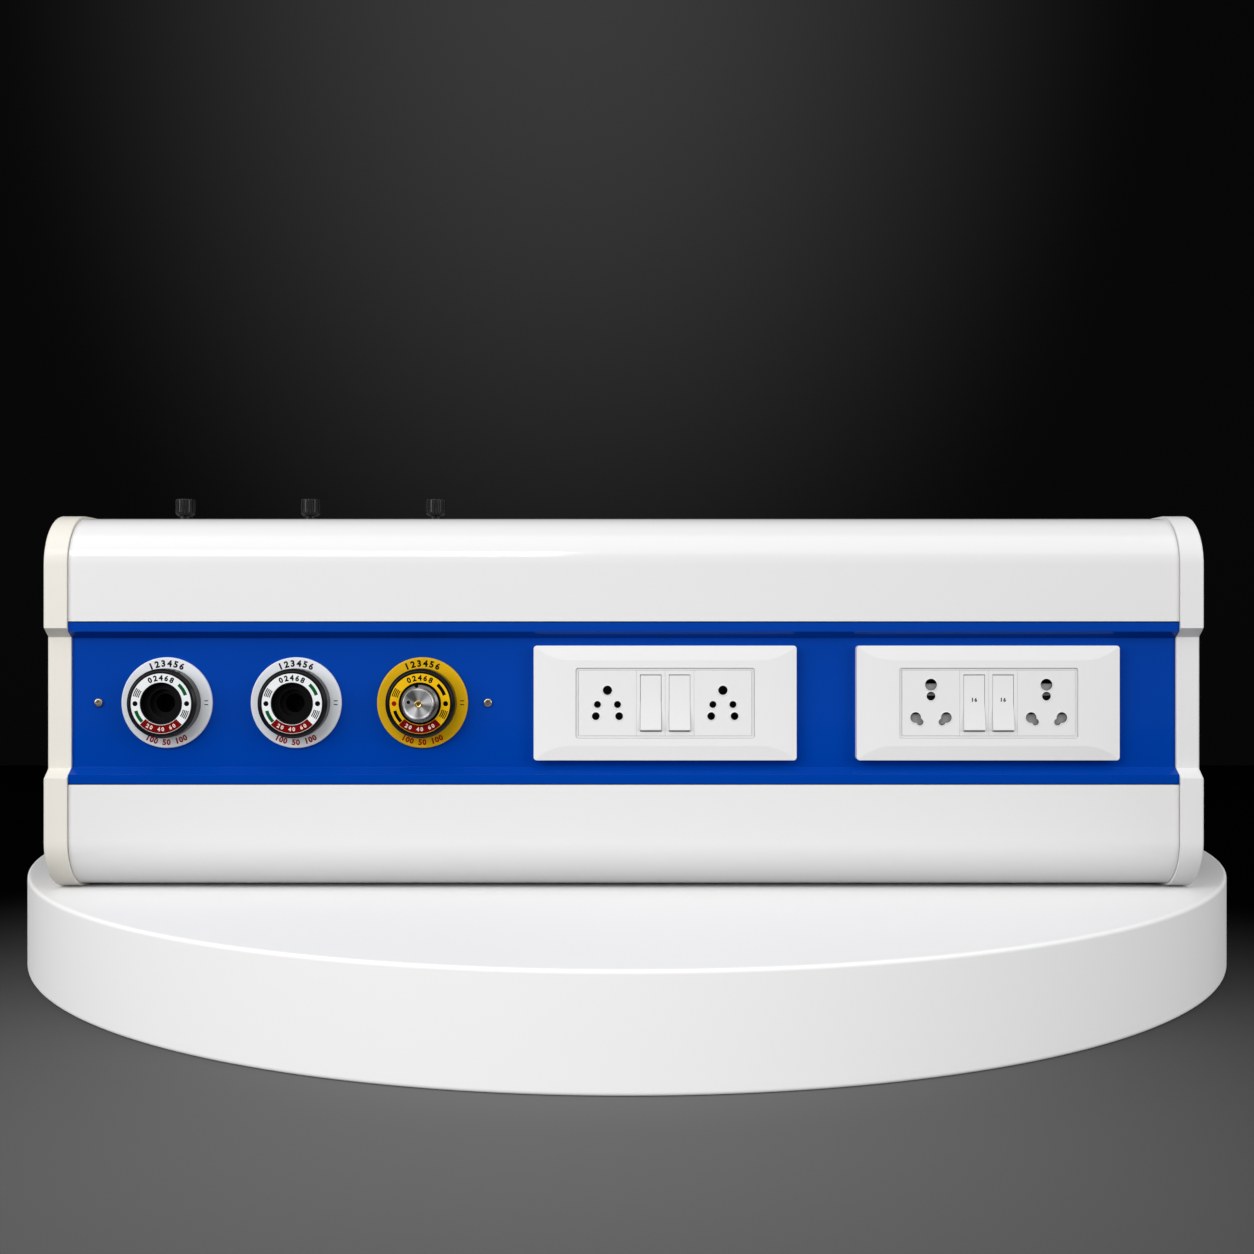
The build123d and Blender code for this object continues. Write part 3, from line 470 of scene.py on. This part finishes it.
def refined(node, width, angle=30.0, segments=2, ease=None):
    """Welded copy of a CAD node with bevels of a width in mm on edges sharper than the angle.

    ease, where given, takes the corners in mm as an array and returns them moved a little.
    """
    mesh = frame["nodes"][node].data.copy()
    mesh.name = node + "_refined"
    shape = bmesh.new()
    shape.from_mesh(mesh)
    bmesh.ops.remove_doubles(shape, verts=shape.verts, dist=WELD * MM)
    bmesh.ops.dissolve_limit(
        shape, angle_limit=radians(FLAT_ANGLE), verts=shape.verts, edges=shape.edges
    )
    if ease:
        corners = ease(np.array([vertex.co for vertex in shape.verts]) / MM)
        for vertex, corner in zip(shape.verts, corners * MM):
            vertex.co = corner
    shape.to_mesh(mesh)
    shape.free()
    item = bpy.data.objects.new(mesh.name, mesh)
    bpy.context.scene.collection.objects.link(item)
    bevel = item.modifiers.new("edges", "BEVEL")
    bevel.width = width * MM
    bevel.segments = segments
    bevel.limit_method = "ANGLE"
    bevel.angle_limit = radians(angle)
    bevel.miter_outer = "MITER_ARC"
    shade_by_area(item)
    return settle(item, body_of[node], [node])


print("tools for refined copies ready")

# %% [markdown]
# ### Pieces that only need edges
#
# A sheet's edge is rounded by its coat, and a moulding's by its mould. The widths are a few tenths
# of a millimetre, which is enough for each edge to catch a thin highlight.

# %% Rounded edges
edge_widths = {"fascia": 0.35, "end_cap_left": 0.5, "end_cap_right": 0.5, "fascia_screws": 0.2}
repeated_widths = {
    "support_frame": (0.6, 2), "switch_bodies": (0.55, 2),
    "socket": (0.35, 4), "rocker": (0.4, 4), "outlet_body": (0.3, 3),
}
for kind, (width, count) in repeated_widths.items():
    edge_widths.update({f"{kind}_{number}": width for number in range(1, count + 1)})
for node, width in edge_widths.items():
    refined(node, width)
print(len(edge_widths), "pieces refined")

# %% [markdown]
# ### Seams and crowns
#
# Two forms are eased on their copies. The covers stop a little short of the fascia, which leaves
# the dark seam that the photo shows. The plates' crowns are a third lower than the CAD's, since
# their slopes are hard to see in the photo.

# %% Eased copies
cover_edge = box_mm("top_cover")[0][2]
plate_front = front_of("cover_plate_1")
seam = 0.45
crown = 3.0
EASE_REACH = 0.01
CROWN_REACH = 0.05


def open_seam(corners):
    """z moves by the seam's width away from the fascia for corners on a cover's inner edge."""
    near = np.abs(np.abs(corners[:, 2]) - cover_edge) < EASE_REACH
    corners[near, 2] += seam * np.sign(corners[near, 2])
    return corners


def lower_crown(corners):
    """Depth d within the crown becomes front - 2/3 (front - d)."""
    fall = plate_front + corners[:, 1]
    within = fall < crown + CROWN_REACH
    corners[within, 1] = -plate_front + fall[within] * 2 / 3
    return corners


for node in ("top_cover", "bottom_cover"):
    refined(node, 0.4, ease=open_seam)
for node in ("cover_plate_1", "cover_plate_2"):
    refined(node, 0.5, angle=8.0, segments=3, ease=lower_crown)
print("covers' inner edge at", round(cover_edge, 2), "and plate front at", round(plate_front, 2))

# %% [markdown]
# ## Turned pieces of the outlets
#
# Rings, collars, dials and the plug are all bodies of revolution about an outlet's axis. Each is
# a closed profile of radii and depths, with its corners softened first and then swept round.

# %% Mesh tools
def mesh_object(name, points, faces, material, weld=True):
    """Object from points in millimetres and faces, welded and with its faces turned outward."""
    mesh = bpy.data.meshes.new(name)
    mesh.from_pydata((np.asarray(points) * MM).tolist(), [], faces)
    if weld:
        shape = bmesh.new()
        shape.from_mesh(mesh)
        bmesh.ops.remove_doubles(shape, verts=shape.verts, dist=0.001 * MM)
        bmesh.ops.recalc_face_normals(shape, faces=shape.faces)
        shape.to_mesh(mesh)
        shape.free()
    mesh.materials.append(material)
    item = bpy.data.objects.new(name, mesh)
    bpy.context.scene.collection.objects.link(item)
    return item


def grid_faces(rows, columns, wrap_rows=False, wrap_columns=False):
    """Quads over a grid of points numbered row by row, joined end to end where asked."""
    index = np.arange(rows * columns).reshape(rows, columns)
    if wrap_rows:
        index = np.vstack([index, index[:1]])
    if wrap_columns:
        index = np.hstack([index, index[:, :1]])
    corners = [index[:-1, :-1], index[1:, :-1], index[1:, 1:], index[:-1, 1:]]
    return np.stack(corners, axis=-1).reshape(-1, 4).tolist()


def soften(corners, reach, steps=4):
    """Closed profile with every corner rounded.

    Corner B between A and C becomes (1 - t)^2 P + 2 t (1 - t) B + t^2 Q for t from 0 to 1, where
    P lies on BA and Q on BC at the reach, or at half that side if the side is shorter.
    """
    corners = np.asarray(corners, float)
    t = np.linspace(0.0, 1.0, steps + 1)[:, None]
    rounded = []
    for a, b, c in zip(np.roll(corners, 1, axis=0), corners, np.roll(corners, -1, axis=0)):
        to_a, to_c = np.linalg.norm(a - b), np.linalg.norm(c - b)
        near = min(reach, to_a / 2, to_c / 2)
        p = b + (a - b) / to_a * near
        q = b + (c - b) / to_c * near
        rounded.append((1 - t) ** 2 * p + 2 * t * (1 - t) * b + t ** 2 * q)
    return np.vstack(rounded)


def turned(name, x, profile, material, segments=144):
    """Turned piece P(a, s) = (x + r(s) cos a, -d(s), r(s) sin a), for a closed (r, d) profile."""
    angle = np.linspace(0.0, 2 * pi, segments, endpoint=False)[:, None]
    radius = profile[:, 0][None, :]
    depth = profile[:, 1][None, :] + 0 * angle
    points = np.stack([x + radius * np.cos(angle), -depth, radius * np.sin(angle)], axis=-1)
    faces = grid_faces(segments, len(profile), wrap_rows=True, wrap_columns=True)
    item = mesh_object(name, points.reshape(-1, 3), faces, material)
    shade_by_area(item)
    return item


def depths(node):
    """A node's rearmost and foremost depth, in millimetres in front of the wall."""
    low, high = box_mm(node)
    return -high[1], -low[1]


print("mesh tools ready")

# %% [markdown]
# ### Outer rings
#
# The ring is a flat moulded disc with a small chamfer that lies against the fascia. Its radius and
# depth are read from its CAD node, and only the chamfer and the bore are given here.

# %% Outer rings
spigot_radius = 16.0
ring_chamfer = 0.8


def outer_ring(number, x):
    """Closed (r, d) profile: bore, back, rim with its chamfer, front."""
    node = f"outlet_ring_{number}"
    low, high = box_mm(node)
    radius = (high[0] - low[0]) / 2
    back, front = depths(node)
    corners = [
        (spigot_radius, back), (radius, back), (radius, front - ring_chamfer),
        (radius - ring_chamfer, front), (spigot_radius, front),
    ]
    ring = turned(f"ring_{number}", x, soften(corners, 0.5), materials[slot_of[node]])
    return settle(ring, "housing", [node])


print("outer ring's profile ready")

# %% [markdown]
# ### Release collars and their dials
#
# The collar is a black anodised sleeve round the outlet's mouth that turns to free the plug. A thin
# marked dial lies in its face, so both ride with the collar's body, and the dial fills the
# collar's own recess.

# %% Release collars and dials
collar_radius, collar_chamfer = 27.4, 2.0
dial_radius, dial_inner, dial_thickness = 23.6, 16.6, 0.8
dial_gap = 0.1


def release_collar(number, x):
    """Closed (r, d) profile: back, side, chamfer, front, and the recess for the dial."""
    node = f"release_collar_{number}"
    back, front = depths(node)
    seat = front - dial_thickness
    corners = [
        (spigot_radius, back), (collar_radius, back), (collar_radius, front - collar_chamfer),
        (collar_radius - collar_chamfer, front), (dial_radius + dial_gap, front),
        (dial_radius + dial_gap, seat), (spigot_radius, seat),
    ]
    collar = turned(f"collar_{number}", x, soften(corners, 0.35), materials["black_anodised"])
    return settle(collar, f"collar_{number}", [node])


def dial(number, x):
    """Closed (r, d) profile: a flat washer between the recess's floor and the collar's front."""
    node = f"dial_{number}"
    front = front_of(f"release_collar_{number}")
    seat = front - dial_thickness
    corners = [(dial_inner, seat), (dial_radius, seat), (dial_radius, front), (dial_inner, front)]
    face = turned(f"face_{number}", x, soften(corners, 0.2), materials[slot_of[node]])
    return settle(face, f"collar_{number}", [node])


for number in (1, 2, 3):
    x = centre_x(f"outlet_ring_{number}")
    outer_ring(number, x)
    release_collar(number, x)
    dial(number, x)
collar_front = front_of("release_collar_3")
print("outlets: rings, collars and dials turned")

# %% [markdown]
# ### The chrome plug
#
# The plug is a sleeve in the outlet, a plated head in front of the collar and a brass eye in the
# head's centre. One profile could hold all three, but then they would share a finish, so each is
# turned by itself. The head's front is dished, and its rim is a narrow flat.

# %% The chrome plug
plug_back, plug_front = depths("vacuum_plug")
neck = collar_front + 1.0
tip_radius, shank_radius, step_radius, skirt_radius = 6.4, 7.4, 10.9, 14.9
shank_front, step_front = 69.1, 74.1
sleeve_profile = soften(
    [
        (0, plug_back), (tip_radius, plug_back), (shank_radius, plug_back + 1.0),
        (shank_radius, shank_front), (step_radius, shank_front), (step_radius, step_front),
        (skirt_radius, step_front), (skirt_radius, neck), (skirt_radius - 2.0, neck + 1.6),
        (11.2, neck + 1.6), (0, neck + 1.6),
    ],
    0.4,
)
sleeve = turned("plug_sleeve", plug_x, sleeve_profile, materials["plug_dark"])
settle(sleeve, "plug")
head_back, head_radius, hole_radius = neck + 1.7, 12.3, 2.2
dish, hole_floor = plug_front - 1.5, plug_front - 6.5
head_profile = soften(
    [
        (0, head_back), (step_radius, head_back), (head_radius, neck + 3.0),
        (head_radius, plug_front - 0.7), (head_radius - 0.4, plug_front),
        (head_radius - 1.1, plug_front), (head_radius - 1.7, plug_front - 0.7), (3.4, dish),
        (hole_radius, dish), (hole_radius, hole_floor), (0, hole_floor),
    ],
    0.3,
)
head = turned("plug_head", plug_x, head_profile, materials["chrome"])
settle(head, "plug", ["vacuum_plug"])
eye_inner, eye_outer = 1.3, 2.9
eye_profile = soften(
    [
        (eye_inner, plug_front - 6.4), (eye_outer, plug_front - 6.4),
        (eye_outer, plug_front - 1.4), (2.3, plug_front - 1.2), (eye_inner, plug_front - 1.6),
    ],
    0.25,
)
eye = turned("plug_eye", plug_x, eye_profile, materials["brass"], segments=48)
settle(eye, "plug")
print("plug turned in three pieces, front at depth", round(plug_front, 2))

# %% [markdown]
# ## Valve knobs
#
# Each knob is a small fluted cap. Its radius falls in narrow valleys round the side, and the
# valleys fade out at the crown and at the skirt, so one formula of angle and height gives it.

# %% Fluted knobs
STEPS_PER_FLUTE = 12


def fluted_knob(number, flutes=18, valley=0.8):
    """Knob P(a, s) = (x + R cos a, y + R sin a, z(s)) with R = r(s) - valley f(s) v(a).

    r and z follow the profile, f fades the valleys at both ends, and v(a) = max(0, cos na)^2.
    """
    low, high = box_mm(f"valve_knob_{number}")
    x, y = (low[:2] + high[:2]) / 2
    full = (high[0] - low[0]) / 2
    bottom, top = low[2], high[2]
    # Each row is a radius, a height and how much of the valleys' depth shows there.
    side = [
        (0, bottom, 0), (full - 2.1, bottom, 0), (full - 1.9, bottom + 0.1, 0),
        (full - 0.2, bottom + 1.8, 0), (full, bottom + 2.2, 0), (full, bottom + 3.0, 1),
        (full, bottom + 6.0, 1), (full, top - 1.6, 1), (full - 0.2, top - 0.7, 0.8),
        (full - 0.6, top - 0.25, 0.5), (full - 1.2, top, 0.2), (full - 2.0, top, 0), (0, top, 0),
    ]
    radius, height, fade = np.array(side, float).T[:, None, :]
    angle = np.linspace(0.0, 2 * pi, flutes * STEPS_PER_FLUTE, endpoint=False)[:, None]
    valleys = np.clip(np.cos(flutes * angle), 0.0, None) ** 2
    reach = radius - valley * fade * valleys
    points = np.stack([x + reach * np.cos(angle), y + reach * np.sin(angle), height + 0 * angle], -1)
    faces = grid_faces(len(angle), len(side), wrap_rows=True)
    knob = mesh_object(f"knob_{number}", points.reshape(-1, 3), faces, materials["knob_black"])
    shade_by_area(knob)
    return settle(knob, f"valve_{number}", [f"valve_knob_{number}"])


for number in (1, 2, 3):
    fluted_knob(number)
print("three fluted knobs")

# %% [markdown]
# ## Printed marks
#
# The rings and dials carry plain numbers, bars and dots. They could be painted in a shader, but a
# mark as a patch of its own stays sharp at any distance and takes its own ink. It lies a few
# hundredths of a millimetre in front of its face, which is about what printing ink is. Angles run
# clockwise from the top, as on a clock.

# %% Arcs and dots
INK = 0.04


def clock(x, radius, degrees):
    """Point (x, z) at a radius and a clockwise angle from the top about an outlet's axis."""
    return np.array([x + radius * sin(radians(degrees)), radius * cos(radians(degrees))])


def arc_patch(x, depth, inner, outer, start, end, steps=24):
    """Points and quads of the flat ring sector between two radii and two clockwise angles."""
    degrees = np.radians(np.linspace(start, end, steps + 1))[:, None]
    radius = np.array([[inner, outer]])
    points = np.stack(
        [x + radius * np.sin(degrees), -depth + 0 * radius * degrees, radius * np.cos(degrees)], -1
    )
    return points.reshape(-1, 3), grid_faces(steps + 1, 2)


def dot_patch(place, depth, radius, steps=28):
    """Points and one face of a flat disc at a place (x, z)."""
    turn = np.linspace(0.0, 2 * pi, steps, endpoint=False)
    points = np.stack(
        [place[0] + radius * np.sin(turn), np.full(steps, -depth), place[1] + radius * np.cos(turn)], -1
    )
    return points, [list(range(steps))]


print("arc and dot patches ready")

# %% [markdown]
# ### Figures
#
# A figure is a letter curve turned into a flat mesh once and kept, because the same ten figures
# come again and again. It is made a mesh before it is placed, so its place is in its points.

# %% Figures
BOLDNESS = 0.045
glyphs = {}


def glyph(character):
    """Flat points (right, up) and faces of a bold character one unit high, about its middle."""
    if character not in glyphs:
        curve = bpy.data.curves.new("glyph", "FONT")
        curve.body = character
        curve.resolution_u = 3
        curve.offset = BOLDNESS
        item = bpy.data.objects.new("glyph", curve)
        bpy.context.scene.collection.objects.link(item)
        bpy.context.view_layer.update()
        mesh = item.to_mesh()
        points = np.array([vertex.co[:2] for vertex in mesh.vertices])
        faces = [list(face.vertices) for face in mesh.polygons]
        item.to_mesh_clear()
        bpy.data.objects.remove(item)
        low, high = points.min(axis=0), points.max(axis=0)
        middle = np.array([(low[0] + high[0]) / 2, (low[1] + high[1]) / 2])
        glyphs[character] = ((points - middle) / (high[1] - low[1]), faces)
    return glyphs[character]


def at_depth(flat, depth):
    """Points (x, -depth, z) from flat points (x, z)."""
    return np.column_stack([flat[:, 0], np.full(len(flat), -depth), flat[:, 1]])


def number_on_arc(text, x, depth, radius, middle, spacing, height, feet_out=False):
    """Patches of a number's figures along an arc, spacing degrees apart about a middle angle.

    A figure's own right and up are turned to the arc's tangent and radius. Where the feet point
    outward, as on the lower half of a ring, both are reversed.
    """
    patches = []
    direction = -1.0 if feet_out else 1.0
    for place, character in enumerate(text):
        if character == " ":
            continue
        degrees = middle + direction * spacing * (place - (len(text) - 1) / 2)
        points, faces = glyph(character)
        right = direction * np.array([cos(radians(degrees)), -sin(radians(degrees))])
        up = direction * np.array([sin(radians(degrees)), cos(radians(degrees))])
        flat = clock(x, radius, degrees) + height * (points[:, :1] * right + points[:, 1:] * up)
        patches.append((at_depth(flat, depth), faces))
    return patches


def printed(name, patches, ink, body):
    """One piece from several patches, in one ink, riding on a body."""
    points, faces, start = [], [], 0
    for patch_points, patch_faces in patches:
        points.append(patch_points)
        faces += [[start + index for index in face] for face in patch_faces]
        start += len(patch_points)
    item = mesh_object(name, np.vstack(points), faces, materials[ink], weld=False)
    return settle(item, body)


print("figures can be set on an arc")

# %% [markdown]
# ### Marks on the outlets
#
# The ring has a row of numbers above and a red row below. The dial has a red sector at its foot,
# two bars, two dots, a short scale and two blocks of fine lines. The vacuum outlet's dial is
# yellow, so its bars are black.

# %% Marks on the outlets
mark_radius, sector_number_radius = 20.2, 20.1
ring_top_radius, ring_foot_radius, ring_side_radius = 31.2, 31.3, 31.6
bar_inner, bar_outer = 19.0, 21.7
dot_radius, vacuum_dot_radius = 2.0, 1.9
line_start, line_pitch, line_width, line_half_angle = 17.9, 1.35, 0.75, 9
sector_margin = 0.3


def fine_lines(x, depth, middle):
    """Four thin arcs, one outside the other, about a middle angle."""
    start, end = middle - line_half_angle, middle + line_half_angle
    inner = [line_start + line_pitch * row for row in range(4)]
    return [arc_patch(x, depth, radius, radius + line_width, start, end, 6) for radius in inner]


for number in (1, 2, 3):
    x = centre_x(f"outlet_ring_{number}")
    ring_face = front_of(f"outlet_ring_{number}") + INK
    dial_face = front_of(f"release_collar_{number}") + INK
    vacuum = number == 3
    collar_body = f"collar_{number}"
    printed(
        f"ring_numbers_{number}",
        number_on_arc("123456", x, ring_face, ring_top_radius, middle=0, spacing=9.2, height=5.4)
        + number_on_arc("11", x, ring_face, ring_side_radius, middle=90, spacing=5.4, height=3.0),
        "ink_black", "housing",
    )
    foot_numbers = number_on_arc(
        "100 50 100", x, ring_face, ring_foot_radius, middle=180, spacing=6.2, height=4.8, feet_out=True
    )
    printed(f"ring_foot_numbers_{number}", foot_numbers, "ink_red", "housing")
    sector_inner, sector_outer = dial_inner + sector_margin, dial_radius - sector_margin
    sector = [arc_patch(x, dial_face, sector_inner, sector_outer, 135, 225)]
    printed(f"dial_sector_{number}", sector, "ink_deep_red", collar_body)
    sector_numbers = number_on_arc(
        "20 40 60", x, dial_face + INK, sector_number_radius, middle=180, spacing=8.8, height=3.2,
        feet_out=True,
    )
    printed(f"dial_sector_numbers_{number}", sector_numbers, "ink_pale", collar_body)
    bars = [arc_patch(x, dial_face, bar_inner, bar_outer, *ends) for ends in ((43, 71), (226, 254))]
    right_dot = [dot_patch(clock(x, mark_radius, 90), dial_face, dot_radius)]
    scale = number_on_arc("02468", x, dial_face, mark_radius, middle=0, spacing=12.5, height=4.6)
    lines = fine_lines(x, dial_face, 294) + fine_lines(x, dial_face, 114)
    left_place = clock(x, mark_radius, 270)
    if vacuum:
        printed("dial_bars_3", bars + right_dot + scale + lines, "ink_black", collar_body)
        left_dot = [dot_patch(left_place, dial_face, vacuum_dot_radius)]
        printed("dial_dot_3", left_dot, "ink_red", collar_body)
    else:
        printed(f"dial_bars_{number}", bars, "ink_green", collar_body)
        left_dot = [dot_patch(left_place, dial_face, dot_radius)]
        printed(f"dial_marks_{number}", right_dot + scale + left_dot, "ink_black", collar_body)
        printed(f"dial_lines_{number}", lines, "ink_black", collar_body)
print("ring and dial marks printed")

# %% [markdown]
# ### Numbers on the right-hand switches
#
# A small number stands a little above the middle of each right-hand rocker. The rocker's upper
# half lies flat when it is at rest, so the number is a flat patch on it and tilts with it.

# %% Numbers on the right-hand switches
rocker_inset = 0.4
rocker_number_rise, rocker_number_height, rocker_number_spacing = 2.6, 3.2, 2.6
rocker_face = module_face - rocker_inset + INK


def flat_number(text, place, depth, height, spacing):
    """Patches of a number's figures in a straight row about a place (x, z)."""
    patches = []
    for order, character in enumerate(text):
        points, faces = glyph(character)
        shift = place + np.array([spacing * (order - (len(text) - 1) / 2), 0.0])
        flat = points * height + shift
        patches.append((at_depth(flat, depth), faces))
    return patches


for number in (3, 4):
    place = np.array([centre_x(f"rocker_{number}"), rocker_number_rise])
    figures = flat_number("16", place, rocker_face, rocker_number_height, rocker_number_spacing)
    printed(f"rocker_number_{number}", figures, "ink_black", f"switch_{number}")
print("rocker numbers at depth", round(rocker_face, 2))

# %% [markdown]
# ### Dark spots on the plug
#
# The plug's head has a small blind hole beside its centre, and its neck a dark pin above. Both
# are seen only as dark spots, so each is a dot like the printed ones; the hole's dot is painted
# shade.

# %% Dark spots on the plug
plug_spots = {
    # The hole's black disc is painted shade.
    "plug_hole_painted_shade": ((plug_x - 7.6, 1.5), plug_front - 0.7, 1.4, "hole_black"),
    "plug_neck_dot": ((plug_x - 2.3, 14.2), neck + 1.7, 1.6, "ink_black"),
}
for name, (place, depth, radius, ink) in plug_spots.items():
    printed(name, [dot_patch(np.array(place), depth, radius)], ink, "plug")
print(len(plug_spots), "dark spots on the plug")

# %% [markdown]
# ## Stage, light and camera
#
# The unit stands on a round white block in front of a dark room, as in the photo. None of this is
# part of the object. A pale block also throws light back at the unit's underside. Its colour is
# therefore a little darker to all rays but the camera's, so that the block looks white and the
# object's colours stay as they are written.

# %% Stage finishes
def stage_material(name, colour, roughness):
    """Plain finish for what isn't part of the object."""
    return finish(name, colour, roughness, pitch=4.0, height=0.01, sheen=0.1)


def seen_colour(name, seen, bounced):
    """Stage finish of one colour to the camera and another, darker, to all other rays."""
    material = stage_material(name, seen, 0.45)
    tree = material.node_tree
    path = tree.nodes.new("ShaderNodeLightPath")
    mix = tree.nodes.new("ShaderNodeMix")
    mix.data_type = "RGBA"
    mix.inputs["A"].default_value = srgb(*bounced)
    mix.inputs["B"].default_value = srgb(*seen)
    tree.links.new(path.outputs["Is Camera Ray"], mix.inputs["Factor"])
    tree.links.new(mix.outputs["Result"], tree.nodes["Principled BSDF"].inputs["Base Color"])
    return material


def pool_of_light(name, middle, rim, centre, reach):
    """Stage finish whose colour falls from the middle's to the rim's over a reach in metres.

    The distance is measured in object space, with each axis divided by its own reach.
    """
    material = finish(name, rim, 0.9, sheen=0.0)
    tree = material.node_tree
    place = tree.nodes.new("ShaderNodeTexCoord")
    shift = tree.nodes.new("ShaderNodeVectorMath")
    shift.operation = "SUBTRACT"
    shift.inputs[1].default_value = centre
    scaled = tree.nodes.new("ShaderNodeVectorMath")
    scaled.operation = "DIVIDE"
    scaled.inputs[1].default_value = reach
    length = tree.nodes.new("ShaderNodeVectorMath")
    length.operation = "LENGTH"
    fall = tree.nodes.new("ShaderNodeMapRange")
    fall.interpolation_type = "SMOOTHSTEP"
    mix = tree.nodes.new("ShaderNodeMix")
    mix.data_type = "RGBA"
    mix.inputs["A"].default_value = srgb(*middle)
    mix.inputs["B"].default_value = srgb(*rim)
    tree.links.new(place.outputs["Object"], shift.inputs[0])
    tree.links.new(shift.outputs["Vector"], scaled.inputs[0])
    tree.links.new(scaled.outputs["Vector"], length.inputs[0])
    tree.links.new(length.outputs["Value"], fall.inputs["Value"])
    tree.links.new(fall.outputs["Result"], mix.inputs["Factor"])
    tree.links.new(mix.outputs["Result"], tree.nodes["Principled BSDF"].inputs["Base Color"])
    return material


print("stage finishes ready")

# %% [markdown]
# ### Block, floor and backdrop
#
# The block is a disc turned about an upright axis, with a small rounding at its rim. The floor
# and the backdrop are single faces, and their pools of light are in their colours.

# %% Block, floor and backdrop
view_x = 2.6
block_radius, block_height, block_depth = 549.0, 78.0, 221.0
rim_round, rim_steps, block_segments = 3.0, 6, 256
block_top = box_mm("end_cap_left")[0][2]
floor_z = block_top - block_height
rim = soften(
    [(0, floor_z), (block_radius, floor_z), (block_radius, block_top), (0, block_top)],
    rim_round, rim_steps,
)
angle = np.linspace(0.0, 2 * pi, block_segments, endpoint=False)[:, None]
block_points = np.stack(
    [
        view_x + rim[:, 0] * np.cos(angle), block_depth + rim[:, 0] * np.sin(angle),
        rim[:, 1] + 0 * angle,
    ],
    -1,
)
block = mesh_object(
    "block", block_points.reshape(-1, 3), grid_faces(block_segments, len(rim), True, True),
    seen_colour("block_white", (250, 250, 250), (205, 205, 205)),
)
shade_by_area(block)

room_half, room_near, room_far, room_top = 4000, -3000, 2500, 4000
backdrop_y = 1800
floor_pool = pool_of_light(
    "floor_dark", (112, 112, 112), (4, 4, 4), centre=(-0.05, -0.3, -0.23), reach=(0.95, 0.9, 1)
)
backdrop_pool = pool_of_light(
    "backdrop_dark", (80, 80, 80), (14, 14, 14), centre=(-0.12, 1.8, 1.7), reach=(1.3, 1, 2.05)
)
floor_corners = [
    (-room_half, room_near, floor_z), (room_half, room_near, floor_z),
    (room_half, room_far, floor_z), (-room_half, room_far, floor_z),
]
backdrop_corners = [
    (-room_half, backdrop_y, floor_z), (room_half, backdrop_y, floor_z),
    (room_half, backdrop_y, room_top), (-room_half, backdrop_y, room_top),
]
floor = mesh_object("floor", floor_corners, [[0, 1, 2, 3]], floor_pool, weld=False)
backdrop = mesh_object("backdrop", backdrop_corners, [[0, 1, 2, 3]], backdrop_pool, weld=False)
print("stage: block radius", block_radius, "and floor at z", round(floor_z, 1))

# %% [markdown]
# ### Lights
#
# A long, narrow lamp in front gives the bright band along the top cover's rounded edge. A wide one
# above and two at the sides fill the front evenly. They are at a plain level, so each colour
# renders about as it is written.

# %% Lights
scene = bpy.context.scene
WORLD_LIGHT = 0.16


def soft_light(name, place, aim, width, height, power):
    """Area light of a width and height in metres at a place, pointed at an aim."""
    lamp = bpy.data.lights.new(name, "AREA")
    lamp.shape = "RECTANGLE"
    lamp.size, lamp.size_y = width, height
    lamp.energy = power
    item = bpy.data.objects.new(name, lamp)
    item.location = place
    direction = np.array(aim) - np.array(place)
    item.rotation_euler = (
        np.arctan2(np.hypot(direction[0], direction[1]), -direction[2]),
        0.0,
        np.arctan2(direction[1], direction[0]) - pi / 2,
    )
    scene.collection.objects.link(item)
    return item


middle = (0.0, 0.0, 0.0)
soft_light("band", (-0.66, -1.55, 0.962), (-0.3, 0.0, 0.118), width=1.1, height=0.36, power=7.9)
soft_light("ceiling", (0.0, -1.172, 1.605), (0.0, -0.072, 0.118), width=3.2, height=1.66, power=19.0)
soft_light("front_left", (-2.1, -1.7, 0.75), middle, width=1.4, height=1.4, power=35.0)
soft_light("front_right", (2.2, -1.7, 0.75), middle, width=1.4, height=1.4, power=31.5)

world = bpy.data.worlds.new("room")
world.use_nodes = True
world.node_tree.nodes["Background"].inputs["Color"].default_value = (*[WORLD_LIGHT] * 3, 1)
scene.world = world
scene.view_settings.view_transform = "Standard"
print("four soft lights and a dim room")

# %% [markdown]
# ### Camera
#
# The camera is level and looks straight at the front from a little above the unit's middle, so
# that the block's top is just seen. Its distance sets how much of each outlet's side is seen, and
# the lens then sets how much of the frame the unit fills.

# %% Camera
camera_distance, camera_height = 1.216, 0.060
lens = bpy.data.cameras.new("camera")
lens.lens = 41.63
camera = bpy.data.objects.new("camera", lens)
camera.location = (view_x * MM, -camera_distance, camera_height)
camera.rotation_euler = (radians(90), 0, 0)
scene.collection.objects.link(camera)
scene.camera = camera
print("camera", camera_distance, "m in front of the wall, lens", lens.lens)
